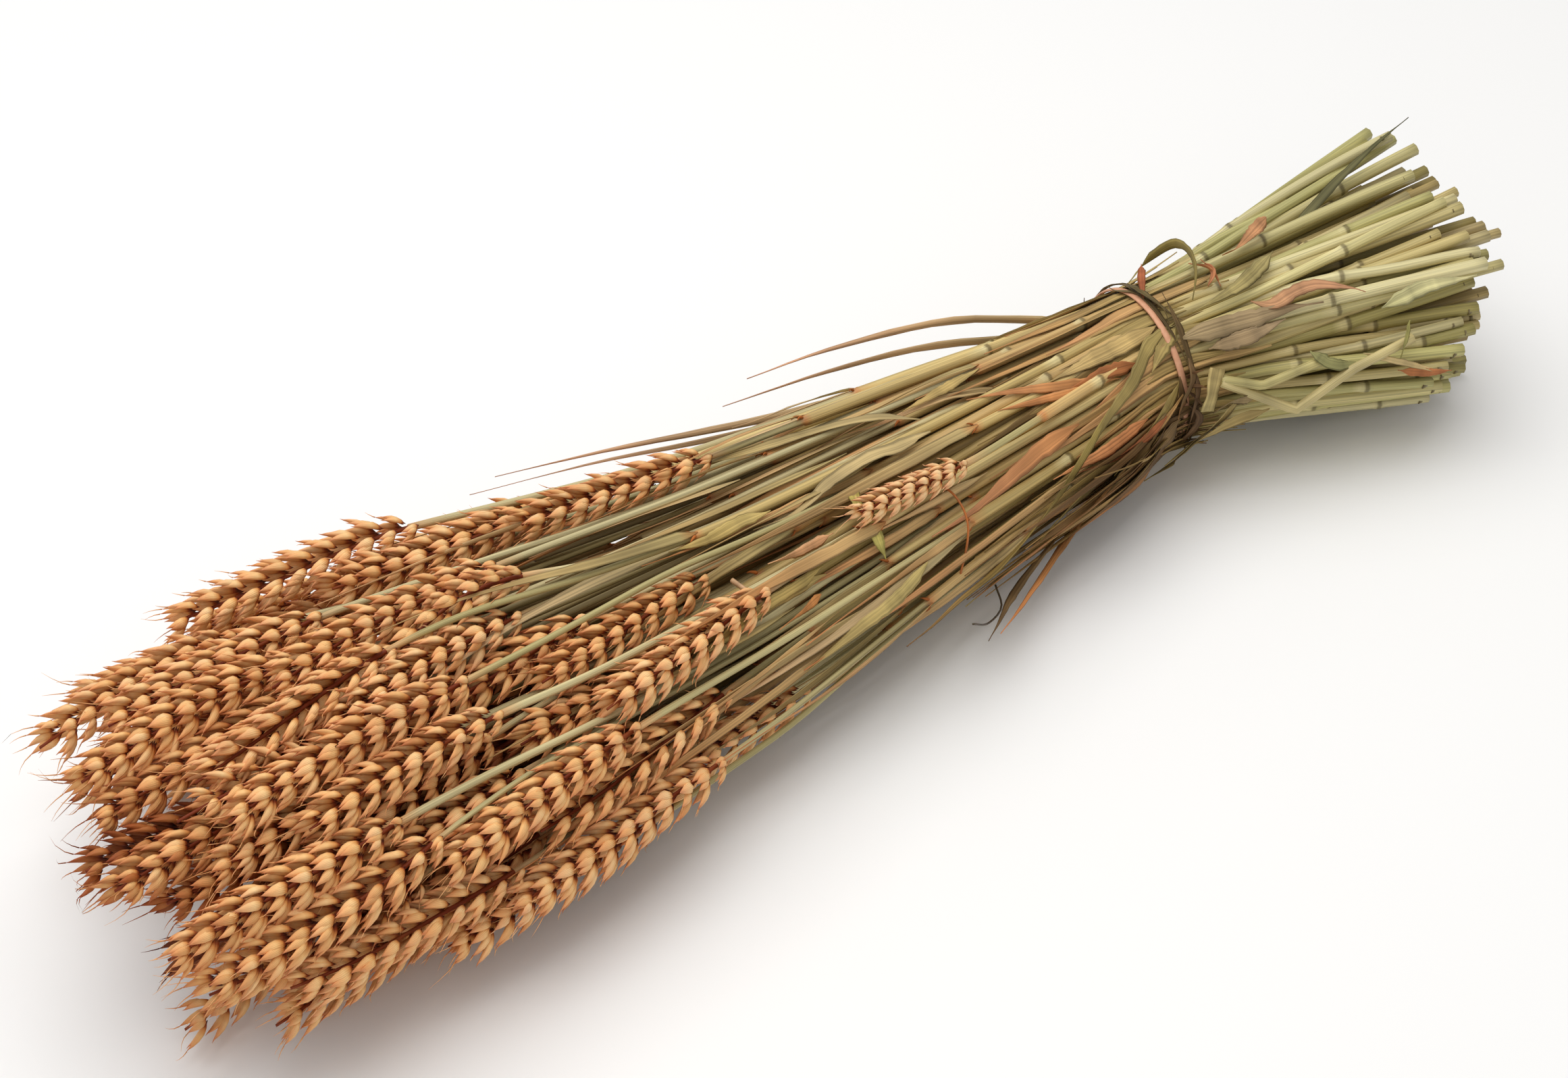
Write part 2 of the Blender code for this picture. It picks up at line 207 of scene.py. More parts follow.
# Tip reach from the tie, its place round the bunch in degrees (0 far side, 90 top, 180 near side), the
# same two for the base, depth (1 = outline), and the turn of the ear's two rows away from the camera.
SHOWN = (
    (400, 46, 297, 45, 1.10, 65),
    (468, 75, 378, 52, 1.00, 30),
    (445, 77, 350, 63, 1.00, 35),
    (345, 50, 255, 50, 1.06, 40),
    (392, 88, 287, 76, 1.05, 30),
    (272, 57, 185, 62, 1.06, 60),
    (432, 105, 340, 97, 1.00, 82),
    (431, 120, 325, 113, 1.00, 35),
    (407, 133, 320, 127, 1.00, 50),
    (418, 146, 323, 133, 0.85, 35),
    (368, 156, 275, 150, 1.05, 32),
    (412, 154, 318, 152, 0.85, 45),
    (432, 175, 332, 180, 1.00, 80),
    (437, 200, 340, 205, 0.95, 60),
    (347, 190, 245, 187, 1.12, 40),
    (290, 198, 195, 196, 1.02, 50),
    (330, 165, 232, 160, 0.90, 65),
    (360, 165, 265, 162, 0.88, 75),
    (372, 200, 275, 195, 1.05, 40),
    (385, 102, 290, 94, 0.88, 40),
    (365, 113, 268, 108, 0.90, 30),
    (305, 122, 220, 113, 0.95, 35),
    (291, 143, 205, 130, 1.05, 40),
    (322, 141, 230, 138, 0.90, 30),
    (463, 90, 365, 87, 0.85, 40),
    (463, 97, 368, 95, 0.75, 30),
    (474, 108, 380, 104, 0.70, 50),
    (470, 122, 372, 118, 0.70, 30),
    (455, 130, 357, 128, 0.66, 40),
    (466, 144, 370, 140, 0.92, 35),
    (458, 156, 360, 152, 0.90, 60),
    (438, 129, 345, 125, 0.84, 40),
    (435, 150, 340, 147, 0.78, 70),
    (412, 163, 318, 160, 0.82, 35),
    (430, 84, 335, 82, 0.72, 40),
    (420, 92, 325, 90, 0.70, 50),
    (425, 97, 330, 95, 0.76, 30),
    (330, 35, 240, 38, 1.04, 50),
    (162, 121, 107, 127, 1.22, 40),
)
UNDER_REACHES = (415, 370, 318, 428, 275, 395, 345, 430, 300, 368, 410)
UNDER_EARS = 17
INNER_STEMS = 24


def stalk_table():
    """One row a stalk: tip reach, tip clock, base reach, base clock, depth, 1 if it carries an ear here."""
    rng = np.random.default_rng(7)
    rows = [row[:5] + (1,) for row in SHOWN]
    for i in range(UNDER_EARS):
        clock = 230 + (i + 0.5) * (380 - 230) / UNDER_EARS
        reach = UNDER_REACHES[i % len(UNDER_REACHES)] + rng.uniform(-8, 8)
        rows.append((reach, clock, reach - 92 + rng.uniform(-5, 5), clock, 1.0, 1))
    for i in range(INNER_STEMS):
        depth = 0.15 + 0.5 * ((i + 0.5) / INNER_STEMS) ** 0.5
        end = rng.uniform(230, 330)
        rows.append((end, i * 137.5 + 200, end, i * 137.5 + 200, depth, 0))
    return np.array(rows, float)


def stalk_radii(rows, feet):
    """Radius of each stalk at each plane, and where it exists and where it is ear."""
    tip = -rows[:, 0][:, None]
    base = -rows[:, 2][:, None]
    foot = feet[:, None]
    x = SECTIONS[None, :]
    along = np.clip((x - base) / (foot - base), 0, 1)
    stem = STEM_NECK_RADIUS + (STEM_FOOT_RADIUS - STEM_NECK_RADIUS) * along**0.55
    u = np.clip((base - x) / np.maximum(base - tip, 1), 0, 1)
    taper = np.minimum(np.clip(0.5 + 4.0 * u, 0, 1), np.clip(0.40 + 2.6 * (1 - u), 0, 1))
    ear = EAR_RADIUS * taper * np.clip((base - tip) / 75, 0.62, 1)
    is_ear = (x <= base + 4) & (x >= tip - 5) & (rows[:, 5] > 0)[:, None]
    exists = (x >= tip - 5) & (x <= foot + 5)
    return np.where(is_ear, ear, stem), exists, is_ear


def stalk_aims(rows):
    """Centre of each stalk at each plane before the stalks push one another apart."""
    rng = np.random.default_rng(11)
    count = len(rows)
    half_y, half_z, mid_y, mid_z = outline(SECTIONS)
    tip_clock = np.radians(rows[:, 1])
    base_clock = np.radians(rows[:, 3])
    depth = rows[:, 4]
    neck_clock = base_clock + rng.normal(0, 0.12, count)
    neck_depth = np.minimum(depth, 1.0) * 0.92
    twist = rng.normal(0.05, 0.14, count)
    flare = rng.normal(0.0, 0.08, count)
    centres = np.zeros((count, len(SECTIONS), 2))
    for i in range(count):
        tip = -rows[i, 0]
        base = -rows[i, 2]
        s = np.clip(SECTIONS / base, 0, 1)
        s = 0.5 * s + 0.5 * s * s * (3 - 2 * s)
        u = np.clip((base - SECTIONS) / max(base - tip, 1), 0, 1.1)
        on_ear = base_clock[i] + (tip_clock[i] - base_clock[i]) * u
        on_stem = neck_clock[i] + (base_clock[i] - neck_clock[i]) * s
        behind = np.clip(SECTIONS, 0, None) / 140
        clock = np.where(SECTIONS < base, on_ear, on_stem) + twist[i] * behind
        out = (neck_depth[i] + (depth[i] - neck_depth[i]) * s) * (1 + flare[i] * behind)
        centres[i, :, 0] = mid_y + half_y * out * np.cos(clock)
        centres[i, :, 1] = mid_z + half_z * out * np.sin(clock)
    centres[..., 1] = np.maximum(centres[..., 1], np.where(SECTIONS < -150, 7.3, 2.0))
    return centres


def settle(aims, radius, exists, is_ear, give, movers, rounds):
    """Pushes the stalks apart plane by plane, smooths them along x, and holds them in the neck.

    Each of the `movers` gives way in proportion to its share of `give`, and the others stay.
    """
    centres = aims.copy()
    aim = aims[movers]
    give_here = give[movers]
    share = give_here[:, None] / (give_here[:, None] + give[None, :])
    both = exists[movers][:, None] & exists[None, :]
    gap = np.where(is_ear[movers][:, None] | is_ear[None, :], 1.0, 0.1)
    squeeze = 0.9 * np.exp(-(((SECTIONS - TIE_X) / 28) ** 2))
    need = radius[movers][:, None] + radius[None, :] + gap + squeeze
    for step in range(rounds):
        ending = step > rounds - 60
        here = centres[movers]
        apart = here[:, None] - centres[None, :]
        distance = np.sqrt((apart**2).sum(-1)) + 1e-9
        over = np.clip(need - distance, 0, None) * both * share
        over[np.arange(len(movers)), movers] = 0
        moved = here + 0.7 * (apart / distance[..., None] * over[..., None]).sum(1) - aim
        if not ending:
            moved *= 1 - 0.03 * (1.35 - give_here)[..., None]
        smooth = 0.10 if ending else 0.32
        moved[:, 1:-1] += smooth * (moved[:, :-2] - 2 * moved[:, 1:-1] + moved[:, 2:])
        here = aim + moved
        here[..., 1] = np.maximum(here[..., 1], radius[movers] + 0.1)
        for k in NECK_PLANES:
            middle = np.array(outline(SECTIONS[k])[2:])
            limit = NECK_RADIUS + 0.12 * abs(SECTIONS[k] - TIE_X) - radius[movers, k]
            arm = here[:, k] - middle
            length = np.sqrt((arm**2).sum(-1))
            arm *= np.where(length > limit, limit / np.maximum(length, 1e-6), 1)[:, None]
            here[:, k] = middle + arm
        centres[movers] = here
    return centres


# An ear that shows to the camera gives way less than the rest, so it stays where it is seen.
stalks = stalk_table()
feet = 150 + np.random.default_rng(5).uniform(-16, 10, len(stalks))
feet -= 24 * np.clip((stalks[:, 3] % 360 - 130) / 60, 0, 1) * (stalks[:, 3] % 360 < 250)
radius, exists, is_ear = stalk_radii(stalks, feet)
give = np.where(is_ear, np.where(stalks[:, 1] < 222, 0.35, 1.0)[:, None], 1.0)
centres = settle(stalk_aims(stalks), radius, exists, is_ear, give, np.arange(len(stalks)), 320)

# More stalks fill the bunch between those. The model carries them as its packed middle alone.
FILL_EARS = 34
FILL_STEMS = 30


def fill_table():
    """Rows like those above, spread evenly over the bunch's section by the golden angle."""
    rng = np.random.default_rng(29)
    rows = []
    for i in range(FILL_EARS + FILL_STEMS):
        clock = (i * 137.5 + 20) % 360
        depth = 0.25 + 0.70 * ((i % FILL_EARS + 0.5) / FILL_EARS) ** 0.6
        if 50 < clock < 215:
            depth = min(depth, 0.78)
        reach = rng.uniform(345, 458)
        eared = i < FILL_EARS
        if not eared:
            depth = rng.uniform(0.35, 0.95)
            reach = rng.uniform(200, 300)
        base = reach - rng.uniform(86, 98) if eared else reach
        rows.append((reach, clock, base, clock + rng.uniform(-6, 6), depth, 1 if eared else 0))
    return np.array(rows, float)


fill = fill_table()
fill_feet = 146 + np.random.default_rng(31).uniform(-22, 8, len(fill))
fill_radius, fill_exists, fill_is_ear = stalk_radii(fill, fill_feet)
known = len(stalks)
stalks = np.concatenate([stalks, fill])
feet = np.concatenate([feet, fill_feet])
radius = np.concatenate([radius, fill_radius])
exists = np.concatenate([exists, fill_exists])
is_ear = np.concatenate([is_ear, fill_is_ear])
give = np.concatenate([np.zeros_like(give), np.ones_like(fill_radius)])
aims = np.concatenate([centres, stalk_aims(fill)])
centres = settle(aims, radius, exists, is_ear, give, np.arange(known, len(stalks)), 120)

# The ends were cut on a slant: how far right a foot reaches in the picture, by its pixel row.
CUT_ROWS = (150, 215, 260, 340, 430, 520, 590)
CUT_COLUMNS = (2050, 2125, 2215, 2243, 2210, 2180, 2145)


def seen(points):
    """Pixel column and row of points of the bunch, in the 2322 wide picture."""
    arm = points - (LOOKED_AT + VIEW_DISTANCE * BACK)
    depth = -(arm @ BACK)
    return 1161 + 5135 * (arm @ RIGHT) / depth, 798 - 5135 * (arm @ UP) / depth


def on_path(path, x):
    """Points (x, y, z) of a stalk's path at any x: a Catmull-Rom curve through its sections."""
    x = np.asarray(x, float)
    place = np.clip((x - SECTIONS[0]) / 10, 0, len(SECTIONS) - 1.001)
    k = place.astype(int)
    t = (place - k)[..., None]
    last = len(SECTIONS) - 1
    p0, p1 = path[np.clip(k - 1, 0, last)], path[k]
    p2, p3 = path[np.clip(k + 1, 0, last)], path[np.clip(k + 2, 0, last)]
    bent = 2 * p1 + (p2 - p0) * t + (2 * p0 - 5 * p1 + 4 * p2 - p3) * t**2 + (3 * p1 - p0 - 3 * p2 + p3) * t**3
    return np.concatenate([x[..., None], bent / 2], -1)


reaches = np.arange(162.0, 95.0, -1.0)
for stalk in range(len(stalks)):
    columns, rows_seen = seen(on_path(centres[stalk], reaches))
    inside = columns < np.interp(rows_seen, CUT_ROWS, CUT_COLUMNS)
    feet[stalk] = min(feet[stalk], reaches[inside.argmax()] - (stalk * 7 % 11))


# Wheat ears. Each grew as two rows of spikelets on a zigzag stalk, and a spikelet is a fan of plump, dry
# husks with papery pointed ends. The bunch was dyed, so the husks are gold; their orange brown roots are
# partly their own colour and partly painted shade for the crevices between husks.

SPIKELET_STEP = 4.35
HUSK_SIDES = 6
HUSK_STATIONS = np.array([0.02, 0.14, 0.34, 0.57, 0.78, 0.93])
HUSK_WIDTHS = np.array([0.32, 0.72, 1.0, 0.88, 0.50, 0.17])
AROUND = np.radians([90, 150, -150, -90, -30, 30])

# One spikelet: fan angle, lean away from the stalk (degrees), start along, out and aside (mm), length,
# width (mm), and how far the husk's back turns from outward to sideways.
FAN = (
    (-16, 13, -1.2, 1.4, -2.4, 10.8, 3.7, -60),
    (16, 13, -1.2, 1.4, 2.4, 10.8, 3.7, 60),
    (-25, 20, -0.6, 1.9, -1.4, 12.2, 3.6, -42),
    (25, 20, -0.6, 1.9, 1.4, 12.2, 3.6, 42),
    (-8, 26, 0.3, 2.3, -0.7, 12.4, 3.5, -12),
    (11, 31, 1.0, 2.4, 0.8, 11.0, 3.2, 16),
)
INNER_FAN = FAN[:4]
LONE_FAN = [(turn, lean - 6, *rest) for turn, lean, *rest in FAN]


def husk_grid(root, ahead, back, length, width, bow):
    """Rings of one or many husks: a boat with a keel, pointed at both ends.

    Centre line: root + length t ahead + bow 4t(1-t) back. Section: width w(t) across, half that deep,
    with the keel on the back. Arrays are (husk, station, side, xyz), followed by both end points.
    """
    across = np.cross(ahead, back)
    t = HUSK_STATIONS[None, :, None]
    spine = root[:, None, :] + length[:, None, None] * t * ahead[:, None, :]
    spine = spine + (bow[:, None, None] * 4 * t * (1 - t)) * back[:, None, :]
    half = 0.5 * width[:, None, None, None] * HUSK_WIDTHS[None, :, None, None]
    sideways = np.cos(AROUND)[None, None, :, None]
    lift = np.where(np.sin(AROUND) > 0, 0.74 * np.sin(AROUND), 0.5 * np.sin(AROUND))
    lift = lift * np.where(abs(np.degrees(AROUND) - 90) < 1, 1.12, 1.0)
    rings = spine[:, :, None, :] + half * (
        sideways * across[:, None, None, :] + lift[None, None, :, None] * back[:, None, None, :]
    )
    tip = root + length[:, None] * 1.05 * ahead + 0.25 * bow[:, None] * back
    foot = root - 0.09 * length[:, None] * ahead
    return rings, tip, foot


def husk_faces(count):
    """Quads between the rings of each husk and a fan of triangles at each end, for `count` husks."""
    rings, sides = len(HUSK_STATIONS), HUSK_SIDES
    size = rings * sides + 2
    j = np.arange(sides)
    k = (j + 1) % sides
    quads = [np.stack([i * sides + j, (i + 1) * sides + j, (i + 1) * sides + k, i * sides + k], -1)
             for i in range(rings - 1)]
    quads = np.concatenate(quads)
    top = (rings - 1) * sides
    tips = np.stack([top + j, np.full(sides, size - 2), top + k], -1)
    roots = np.stack([k, np.full(sides, size - 1), j], -1)
    shift = (np.arange(count) * size)[:, None, None]
    return (quads + shift).reshape(-1, 4), (np.concatenate([tips, roots]) + shift).reshape(-1, 3)


AWN_STATIONS = np.array([0.0, 0.35, 0.7, 1.0])


def awn_grid(root, ahead, bend, length, thick):
    """Three sided hairs: root + length (t ahead + t^2 bend), radius thick (1 - 0.85 t)."""
    helper = np.cross(ahead, np.array([0.3, 0.5, 0.81]))
    helper /= np.linalg.norm(helper, axis=-1, keepdims=True)
    other = np.cross(ahead, helper)
    t = AWN_STATIONS[None, :, None]
    spine = root[:, None, :] + length[:, None, None] * (t * ahead[:, None, :] + t**2 * bend[:, None, :])
    turn = np.radians([0, 120, 240])
    out = np.cos(turn)[None, :, None] * helper[:, None, :] + np.sin(turn)[None, :, None] * other[:, None, :]
    radius = (thick[:, None] * (1 - 0.85 * AWN_STATIONS[None, :]))[:, :, None, None]
    return spine[:, :, None, :] + radius * out[:, None, :, :]


def awn_faces(count):
    """Quads along each hair and a triangle at both ends."""
    rings, sides = len(AWN_STATIONS), 3
    j = np.arange(sides)
    k = (j + 1) % sides
    quads = np.concatenate([np.stack([i * 3 + j, i * 3 + k, i * 3 + 3 + k, i * 3 + 3 + j], -1)
                            for i in range(rings - 1)])
    last = (rings - 1) * 3
    ends = np.array([[2, 1, 0], [last, last + 1, last + 2]])
    shift = (np.arange(count) * rings * sides)[:, None, None]
    return (quads + shift).reshape(-1, 4), (ends + shift).reshape(-1, 3)


def put_mesh(name, points, quads, tris, marks, look):
    """Makes one mesh object from arrays; `marks` are named vectors, one a point, that the material reads."""
    mesh = bpy.data.meshes.new(name)
    corners = np.concatenate([quads.reshape(-1), tris.reshape(-1)]).astype(np.int32)
    sizes = np.concatenate([np.full(len(quads), 4), np.full(len(tris), 3)]).astype(np.int32)
    starts = np.concatenate([[0], np.cumsum(sizes)[:-1]]).astype(np.int32)
    mesh.vertices.add(len(points))
    mesh.vertices.foreach_set("co", placed(points).astype(np.float32).reshape(-1))
    mesh.loops.add(len(corners))
    mesh.loops.foreach_set("vertex_index", corners)
    mesh.polygons.add(len(sizes))
    mesh.polygons.foreach_set("loop_start", starts)
    mesh.polygons.foreach_set("use_smooth", np.ones(len(sizes), bool))
    mesh.update(calc_edges=True)
    for mark, values in marks.items():
        layer = mesh.attributes.new(mark, "FLOAT_VECTOR", "POINT")
        layer.data.foreach_set("vector", np.asarray(values, np.float32).reshape(-1))
    mesh.materials.append(look)
    made = bpy.data.objects.new(name, mesh)
    bpy.context.scene.collection.objects.link(made)
    return made


def unit(vectors):
    return vectors / np.linalg.norm(vectors, axis=-1, keepdims=True)


def ear_arrays(path, base, tip, row_clock, seed, fan, plump, glow):
    """Points, faces and marks of one ear that follows `path` from x = base to x = tip (mm).

    Spikelet i sits at distance 4.35 i along the ear, on side (-1)^i of the direction `row_clock`, smaller
    near both ends. Its husks fan out in the plane across that direction and lean away from the stalk, as
    the rows of `fan` say. `plump` scales the husks, and `glow` is added to their tone.
    The mark holds, for each point, its place along the husk, its place round it, and the husk's tone, which includes
    painted shade for husks deep in the bunch.
    """
    rng = np.random.default_rng(seed)
    length = base - tip
    small = np.clip(length / 85, 0.66, 1.06) * plump
    count = int((length - 9 * small) / (SPIKELET_STEP * small)) + 1
    s = 2.0 + np.arange(count) * SPIKELET_STEP * small
    line = on_path(path, base - np.linspace(0, length + 6, 60))
    steps = np.concatenate([[0], np.cumsum(np.linalg.norm(np.diff(line, axis=0), axis=1))])
    u = s / length
    spine = np.stack([np.interp(s, steps, line[:, i]) for i in range(3)], -1)
    ahead_s = np.stack([np.interp(s, steps, np.gradient(line[:, i], steps)) for i in range(3)], -1)
    ahead_s = unit(ahead_s)
    rows = np.array([0.0, np.cos(row_clock), np.sin(row_clock)])
    wander = rng.normal(0, 0.05, count).cumsum() * 0.5
    side_a = unit(rows - (ahead_s @ rows)[:, None] * ahead_s)
    side_b = np.cross(ahead_s, side_a)
    out = np.cos(wander)[:, None] * side_a + np.sin(wander)[:, None] * side_b
    aside = np.cross(ahead_s, out)
    out = out * ((-1.0) ** np.arange(count))[:, None]
    swell = np.minimum(1.0, np.minimum(0.62 + 2.6 * u, 0.66 + 1.5 * (1 - u))) * small
    swell = swell * rng.normal(1.0, 0.03, count)

    fan = np.array(fan)
    shape = (count, len(fan))
    spread = np.radians(fan[:, 0] + rng.normal(0, 4.5, shape))
    lean = np.radians(fan[:, 1] + rng.normal(0, 3.5, shape)) * (1.0 - 0.25 * u[:, None])
    near_tip = np.clip((u[:, None] - 0.8) / 0.2, 0, 1)
    spread = spread * (1 - 0.25 * near_tip)
    along = fan[:, 2] * swell[:, None]
    outward = fan[:, 3] * swell[:, None]
    sideways = fan[:, 4] * swell[:, None]
    big = swell[:, None] * rng.normal(1.0, 0.06, shape)
    husk_length = fan[:, 5] * big
    husk_width = fan[:, 6] * swell[:, None] * rng.normal(1.0, 0.06, shape)
    turn = np.radians(fan[:, 7] + rng.normal(0, 8, shape))

    a = ahead_s[:, None, :]
    o = out[:, None, :]
    b = aside[:, None, :]
    root = spine[:, None, :] + along[..., None] * a + outward[..., None] * o + sideways[..., None] * b
    direction = unit(
        np.cos(lean)[..., None] * (np.cos(spread)[..., None] * a + np.sin(spread)[..., None] * b)
        + np.sin(lean)[..., None] * o
    )
    back = np.cos(turn)[..., None] * o + np.sin(turn)[..., None] * b
    back = unit(back - (back * direction).sum(-1)[..., None] * direction)
    root, direction, back = (values.reshape(-1, 3) for values in (root, direction, back))
    husk_length, husk_width = husk_length.reshape(-1), husk_width.reshape(-1)
    bow = 0.9 * np.clip(husk_width / 3.4, 0.5, 1.2)
    rings, tips, roots = husk_grid(root, direction, back, husk_length, husk_width, bow)
    husks = len(root)
    body = np.concatenate([rings.reshape(husks, -1, 3), tips[:, None], roots[:, None]], 1)

    # Each husk's own random tone, plus glow, less a painted shade of 0.45 times its depth in the bunch.
    tone = rng.normal(0.68, 0.09, husks) + rng.normal(0, 0.05) + glow - 0.45 * inward(root)
    tone = np.clip(tone, 0, 1)
    t = np.concatenate([np.repeat(HUSK_STATIONS, HUSK_SIDES), [1.0, 0.0]])
    v = np.concatenate([np.tile(np.cos(AROUND), len(HUSK_STATIONS)), [0.0, 0.0]])
    marks = np.stack([
        np.broadcast_to(t, (husks, len(t))),
        np.broadcast_to(v, (husks, len(t))),
        np.broadcast_to(tone[:, None], (husks, len(t))),
    ], -1)
    quads, tris = husk_faces(husks)

    row = np.repeat(np.arange(count), len(fan))
    high = u[row]
    bears = (rng.random(husks) < 0.6 + 0.4 * (high > 0.8)) & (np.tile(np.arange(len(fan)), count) > 1)
    hair = np.nonzero(bears)[0]
    hair_length = rng.uniform(1.5, 4.5, len(hair)) + 10.5 * np.clip((high[hair] - 0.70) / 0.30, 0, 1) ** 1.3
    hair_length = hair_length * np.clip(length / 90, 0.4, 1) * rng.uniform(0.6, 1.1, len(hair))
    wild = rng.normal(0, 0.22, (len(hair), 3))
    thick = np.full(len(hair), 0.25)
    hairs = awn_grid(tips[hair] - 0.6 * direction[hair], direction[hair], wild, hair_length, thick)
    hair_quads, hair_tris = awn_faces(len(hair))
    hair_marks = np.zeros((len(hair) * 12, 3))
    hair_marks[:, 0] = 0.7
    hair_marks[:, 2] = np.repeat(tone[hair], 12)

    stalk_x = base - np.linspace(-3.0, length * 0.93, 24)
    rachis = on_path(path, stalk_x)
    ring = np.linspace(0, 2 * np.pi, 6, endpoint=False)
    core = rachis[:, None, :] + (np.linspace(0.9, 0.5, 24) * small)[:, None, None] * np.stack(
        [np.zeros(6), -np.cos(ring), np.sin(ring)], -1)[None]
    j = np.arange(6)
    k = (j + 1) % 6
    core_quads = np.concatenate([np.stack([i * 6 + j, i * 6 + k, i * 6 + 6 + k, i * 6 + 6 + j], -1) for i in range(23)])
    core_tris = np.array([[0, 5, 4], [0, 4, 3], [0, 3, 2], [0, 2, 1],
                          [138, 139, 140], [138, 140, 141], [138, 141, 142], [138, 142, 143]])
    # The rachis reads the dark root end of the husk ramp: painted shade, so that gaps between spikelets look like
    # shadow.
    core_shade_marks = np.zeros((144, 3))
    core_shade_marks[:, 0] = 0.08
    core_shade_marks[:, 2] = 0.5

    parts = [body.reshape(-1, 3), hairs.reshape(-1, 3), core.reshape(-1, 3)]
    shifts = np.cumsum([0, len(parts[0]), len(parts[1])])
    quads = np.concatenate([quads, hair_quads + shifts[1], core_quads + shifts[2]])
    tris = np.concatenate([tris, hair_tris + shifts[1], core_tris + shifts[2]])
    return np.concatenate(parts), quads, tris, np.concatenate([marks.reshape(-1, 3), hair_marks, core_shade_marks])


# Dried husk, dyed gold: matt and papery, deep orange brown at the root, partly its own colour and partly
# painted shade for the crevice where husks meet, palest on the belly, pinkish at the point, with fine nerves
# 0.6 mm apart along it, and stained in patches 20 to 40 mm wide.
dyed_husk, tree, shader = new_material("dyed_husk")
mark = add_node(tree, "ShaderNodeAttribute", attribute_name="husk")
parts = add_node(tree, "ShaderNodeSeparateXYZ", [(mark.outputs["Vector"], "Vector")])
ramp = add_node(tree, "ShaderNodeValToRGB", [(parts.outputs["X"], "Fac")])
# The two darkest stops at the root are partly the husk's own orange brown and partly painted shade for the crevice
# where husks meet the stalk and one another.
stops = ((0.0, "3C0E02"), (0.11, "9A4614"), (0.21, "E6AA66"), (0.44, "FCD8A0"), (0.76, "F2B984"), (1.0, "D0845E"))
while len(ramp.color_ramp.elements) < len(stops):
    ramp.color_ramp.elements.new(0.5)
for element, (place, colour) in zip(ramp.color_ramp.elements, stops):
    element.position = place
    element.color = linear(colour)
where = add_node(tree, "ShaderNodeTexCoord")
patches = add_node(tree, "ShaderNodeTexNoise", [(where.outputs["Object"], "Vector")], Scale=34.0, Detail=2.0)
stain = add_node(tree, "ShaderNodeMapRange", [(patches.outputs["Fac"], "Value")], From_Min=0.52, From_Max=0.74)
tone_and_shade_ramp = add_node(tree, "ShaderNodeValToRGB", [(parts.outputs["Z"], "Fac")])
# Low tones come from husks deep in the bunch, so the dark brown bottom of this ramp is painted shade; higher up it
# spreads each husk's own random tone.
tone_and_shade_stops = ((0.0, "5E2C12"), (0.3, "B07A50"), (0.6, "FAE8CE"), (1.0, "FFFFFF"))
while len(tone_and_shade_ramp.color_ramp.elements) < len(tone_and_shade_stops):
    tone_and_shade_ramp.color_ramp.elements.new(0.5)
for element, (place, colour) in zip(tone_and_shade_ramp.color_ramp.elements, tone_and_shade_stops):
    element.position = place
    element.color = linear(colour)
shaded = add_node(tree, "ShaderNodeMix", [(ramp.outputs["Color"], "A")], data_type="RGBA", blend_type="MULTIPLY")
shaded.inputs["Factor"].default_value = 1.0
tree.links.new(ramp.outputs["Color"], shaded.inputs[6])
tree.links.new(tone_and_shade_ramp.outputs["Color"], shaded.inputs[7])
stained = add_node(tree, "ShaderNodeMix", data_type="RGBA", blend_type="MIX")
tree.links.new(stain.outputs["Result"], stained.inputs["Factor"])
tree.links.new(shaded.outputs[2], stained.inputs[6])
stained.inputs[7].default_value = linear("C4723C")
half = add_node(tree, "ShaderNodeMix", data_type="RGBA", blend_type="MIX")
half.inputs["Factor"].default_value = 0.3
tree.links.new(shaded.outputs[2], half.inputs[6])
tree.links.new(stained.outputs[2], half.inputs[7])
nerve = add_node(tree, "ShaderNodeMath", [(parts.outputs["Y"], 0)], operation="MULTIPLY")
nerve.inputs[1].default_value = 22.0
wave = add_node(tree, "ShaderNodeMath", [(nerve.outputs["Value"], 0)], operation="SINE")
bump = add_node(tree, "ShaderNodeBump", [(wave.outputs["Value"], "Height")], Strength=0.22, Distance=0.0002)
tree.links.new(bump.outputs["Normal"], shader.inputs["Normal"])
lined = add_node(tree, "ShaderNodeMapRange", [(wave.outputs["Value"], "Value")], From_Min=-1.0, From_Max=1.0)
lined.inputs["To Min"].default_value = 0.88
lined.inputs["To Max"].default_value = 1.05
nerved = add_node(tree, "ShaderNodeMix", data_type="RGBA", blend_type="MULTIPLY")
nerved.inputs["Factor"].default_value = 1.0
tree.links.new(half.outputs[2], nerved.inputs[6])
tree.links.new(lined.outputs["Result"], nerved.inputs[7])
tree.links.new(nerved.outputs[2], shader.inputs["Base Color"])
shader.inputs["Roughness"].default_value = 0.62
shader.inputs["Specular IOR Level"].default_value = 0.35

CAMERA_CLOCK = np.radians(135.0)
EAR_REACH = 8.9
LOW = (np.array(CAD_BOX[0]) - TO_FRAME) / MM + np.array([0, 0, SINK])
HIGH = (np.array(CAD_BOX[1]) - TO_FRAME) / MM + np.array([0, 0, SINK])


def ear_path(stalk):
    """The stalk's path, drawn in where an ear's husks would leave the model's box, and smoothed."""
    path = centres[stalk].copy()
    tip, base = -stalks[stalk, 0], -stalks[stalk, 2]
    away = np.clip(np.maximum(tip - SECTIONS, SECTIONS - base - 10), 0, None)
    reach = np.clip(EAR_REACH - 0.12 * away, 1.6, None)
    path[:, 0] = np.clip(path[:, 0], LOW[1] + reach, HIGH[1] - reach)
    path[:, 1] = np.clip(path[:, 1], LOW[2] + reach - 1.0, HIGH[2] - reach)
    for _ in range(2):
        path[1:-1] = (path[:-2] + 2 * path[1:-1] + path[2:]) / 4
    return path


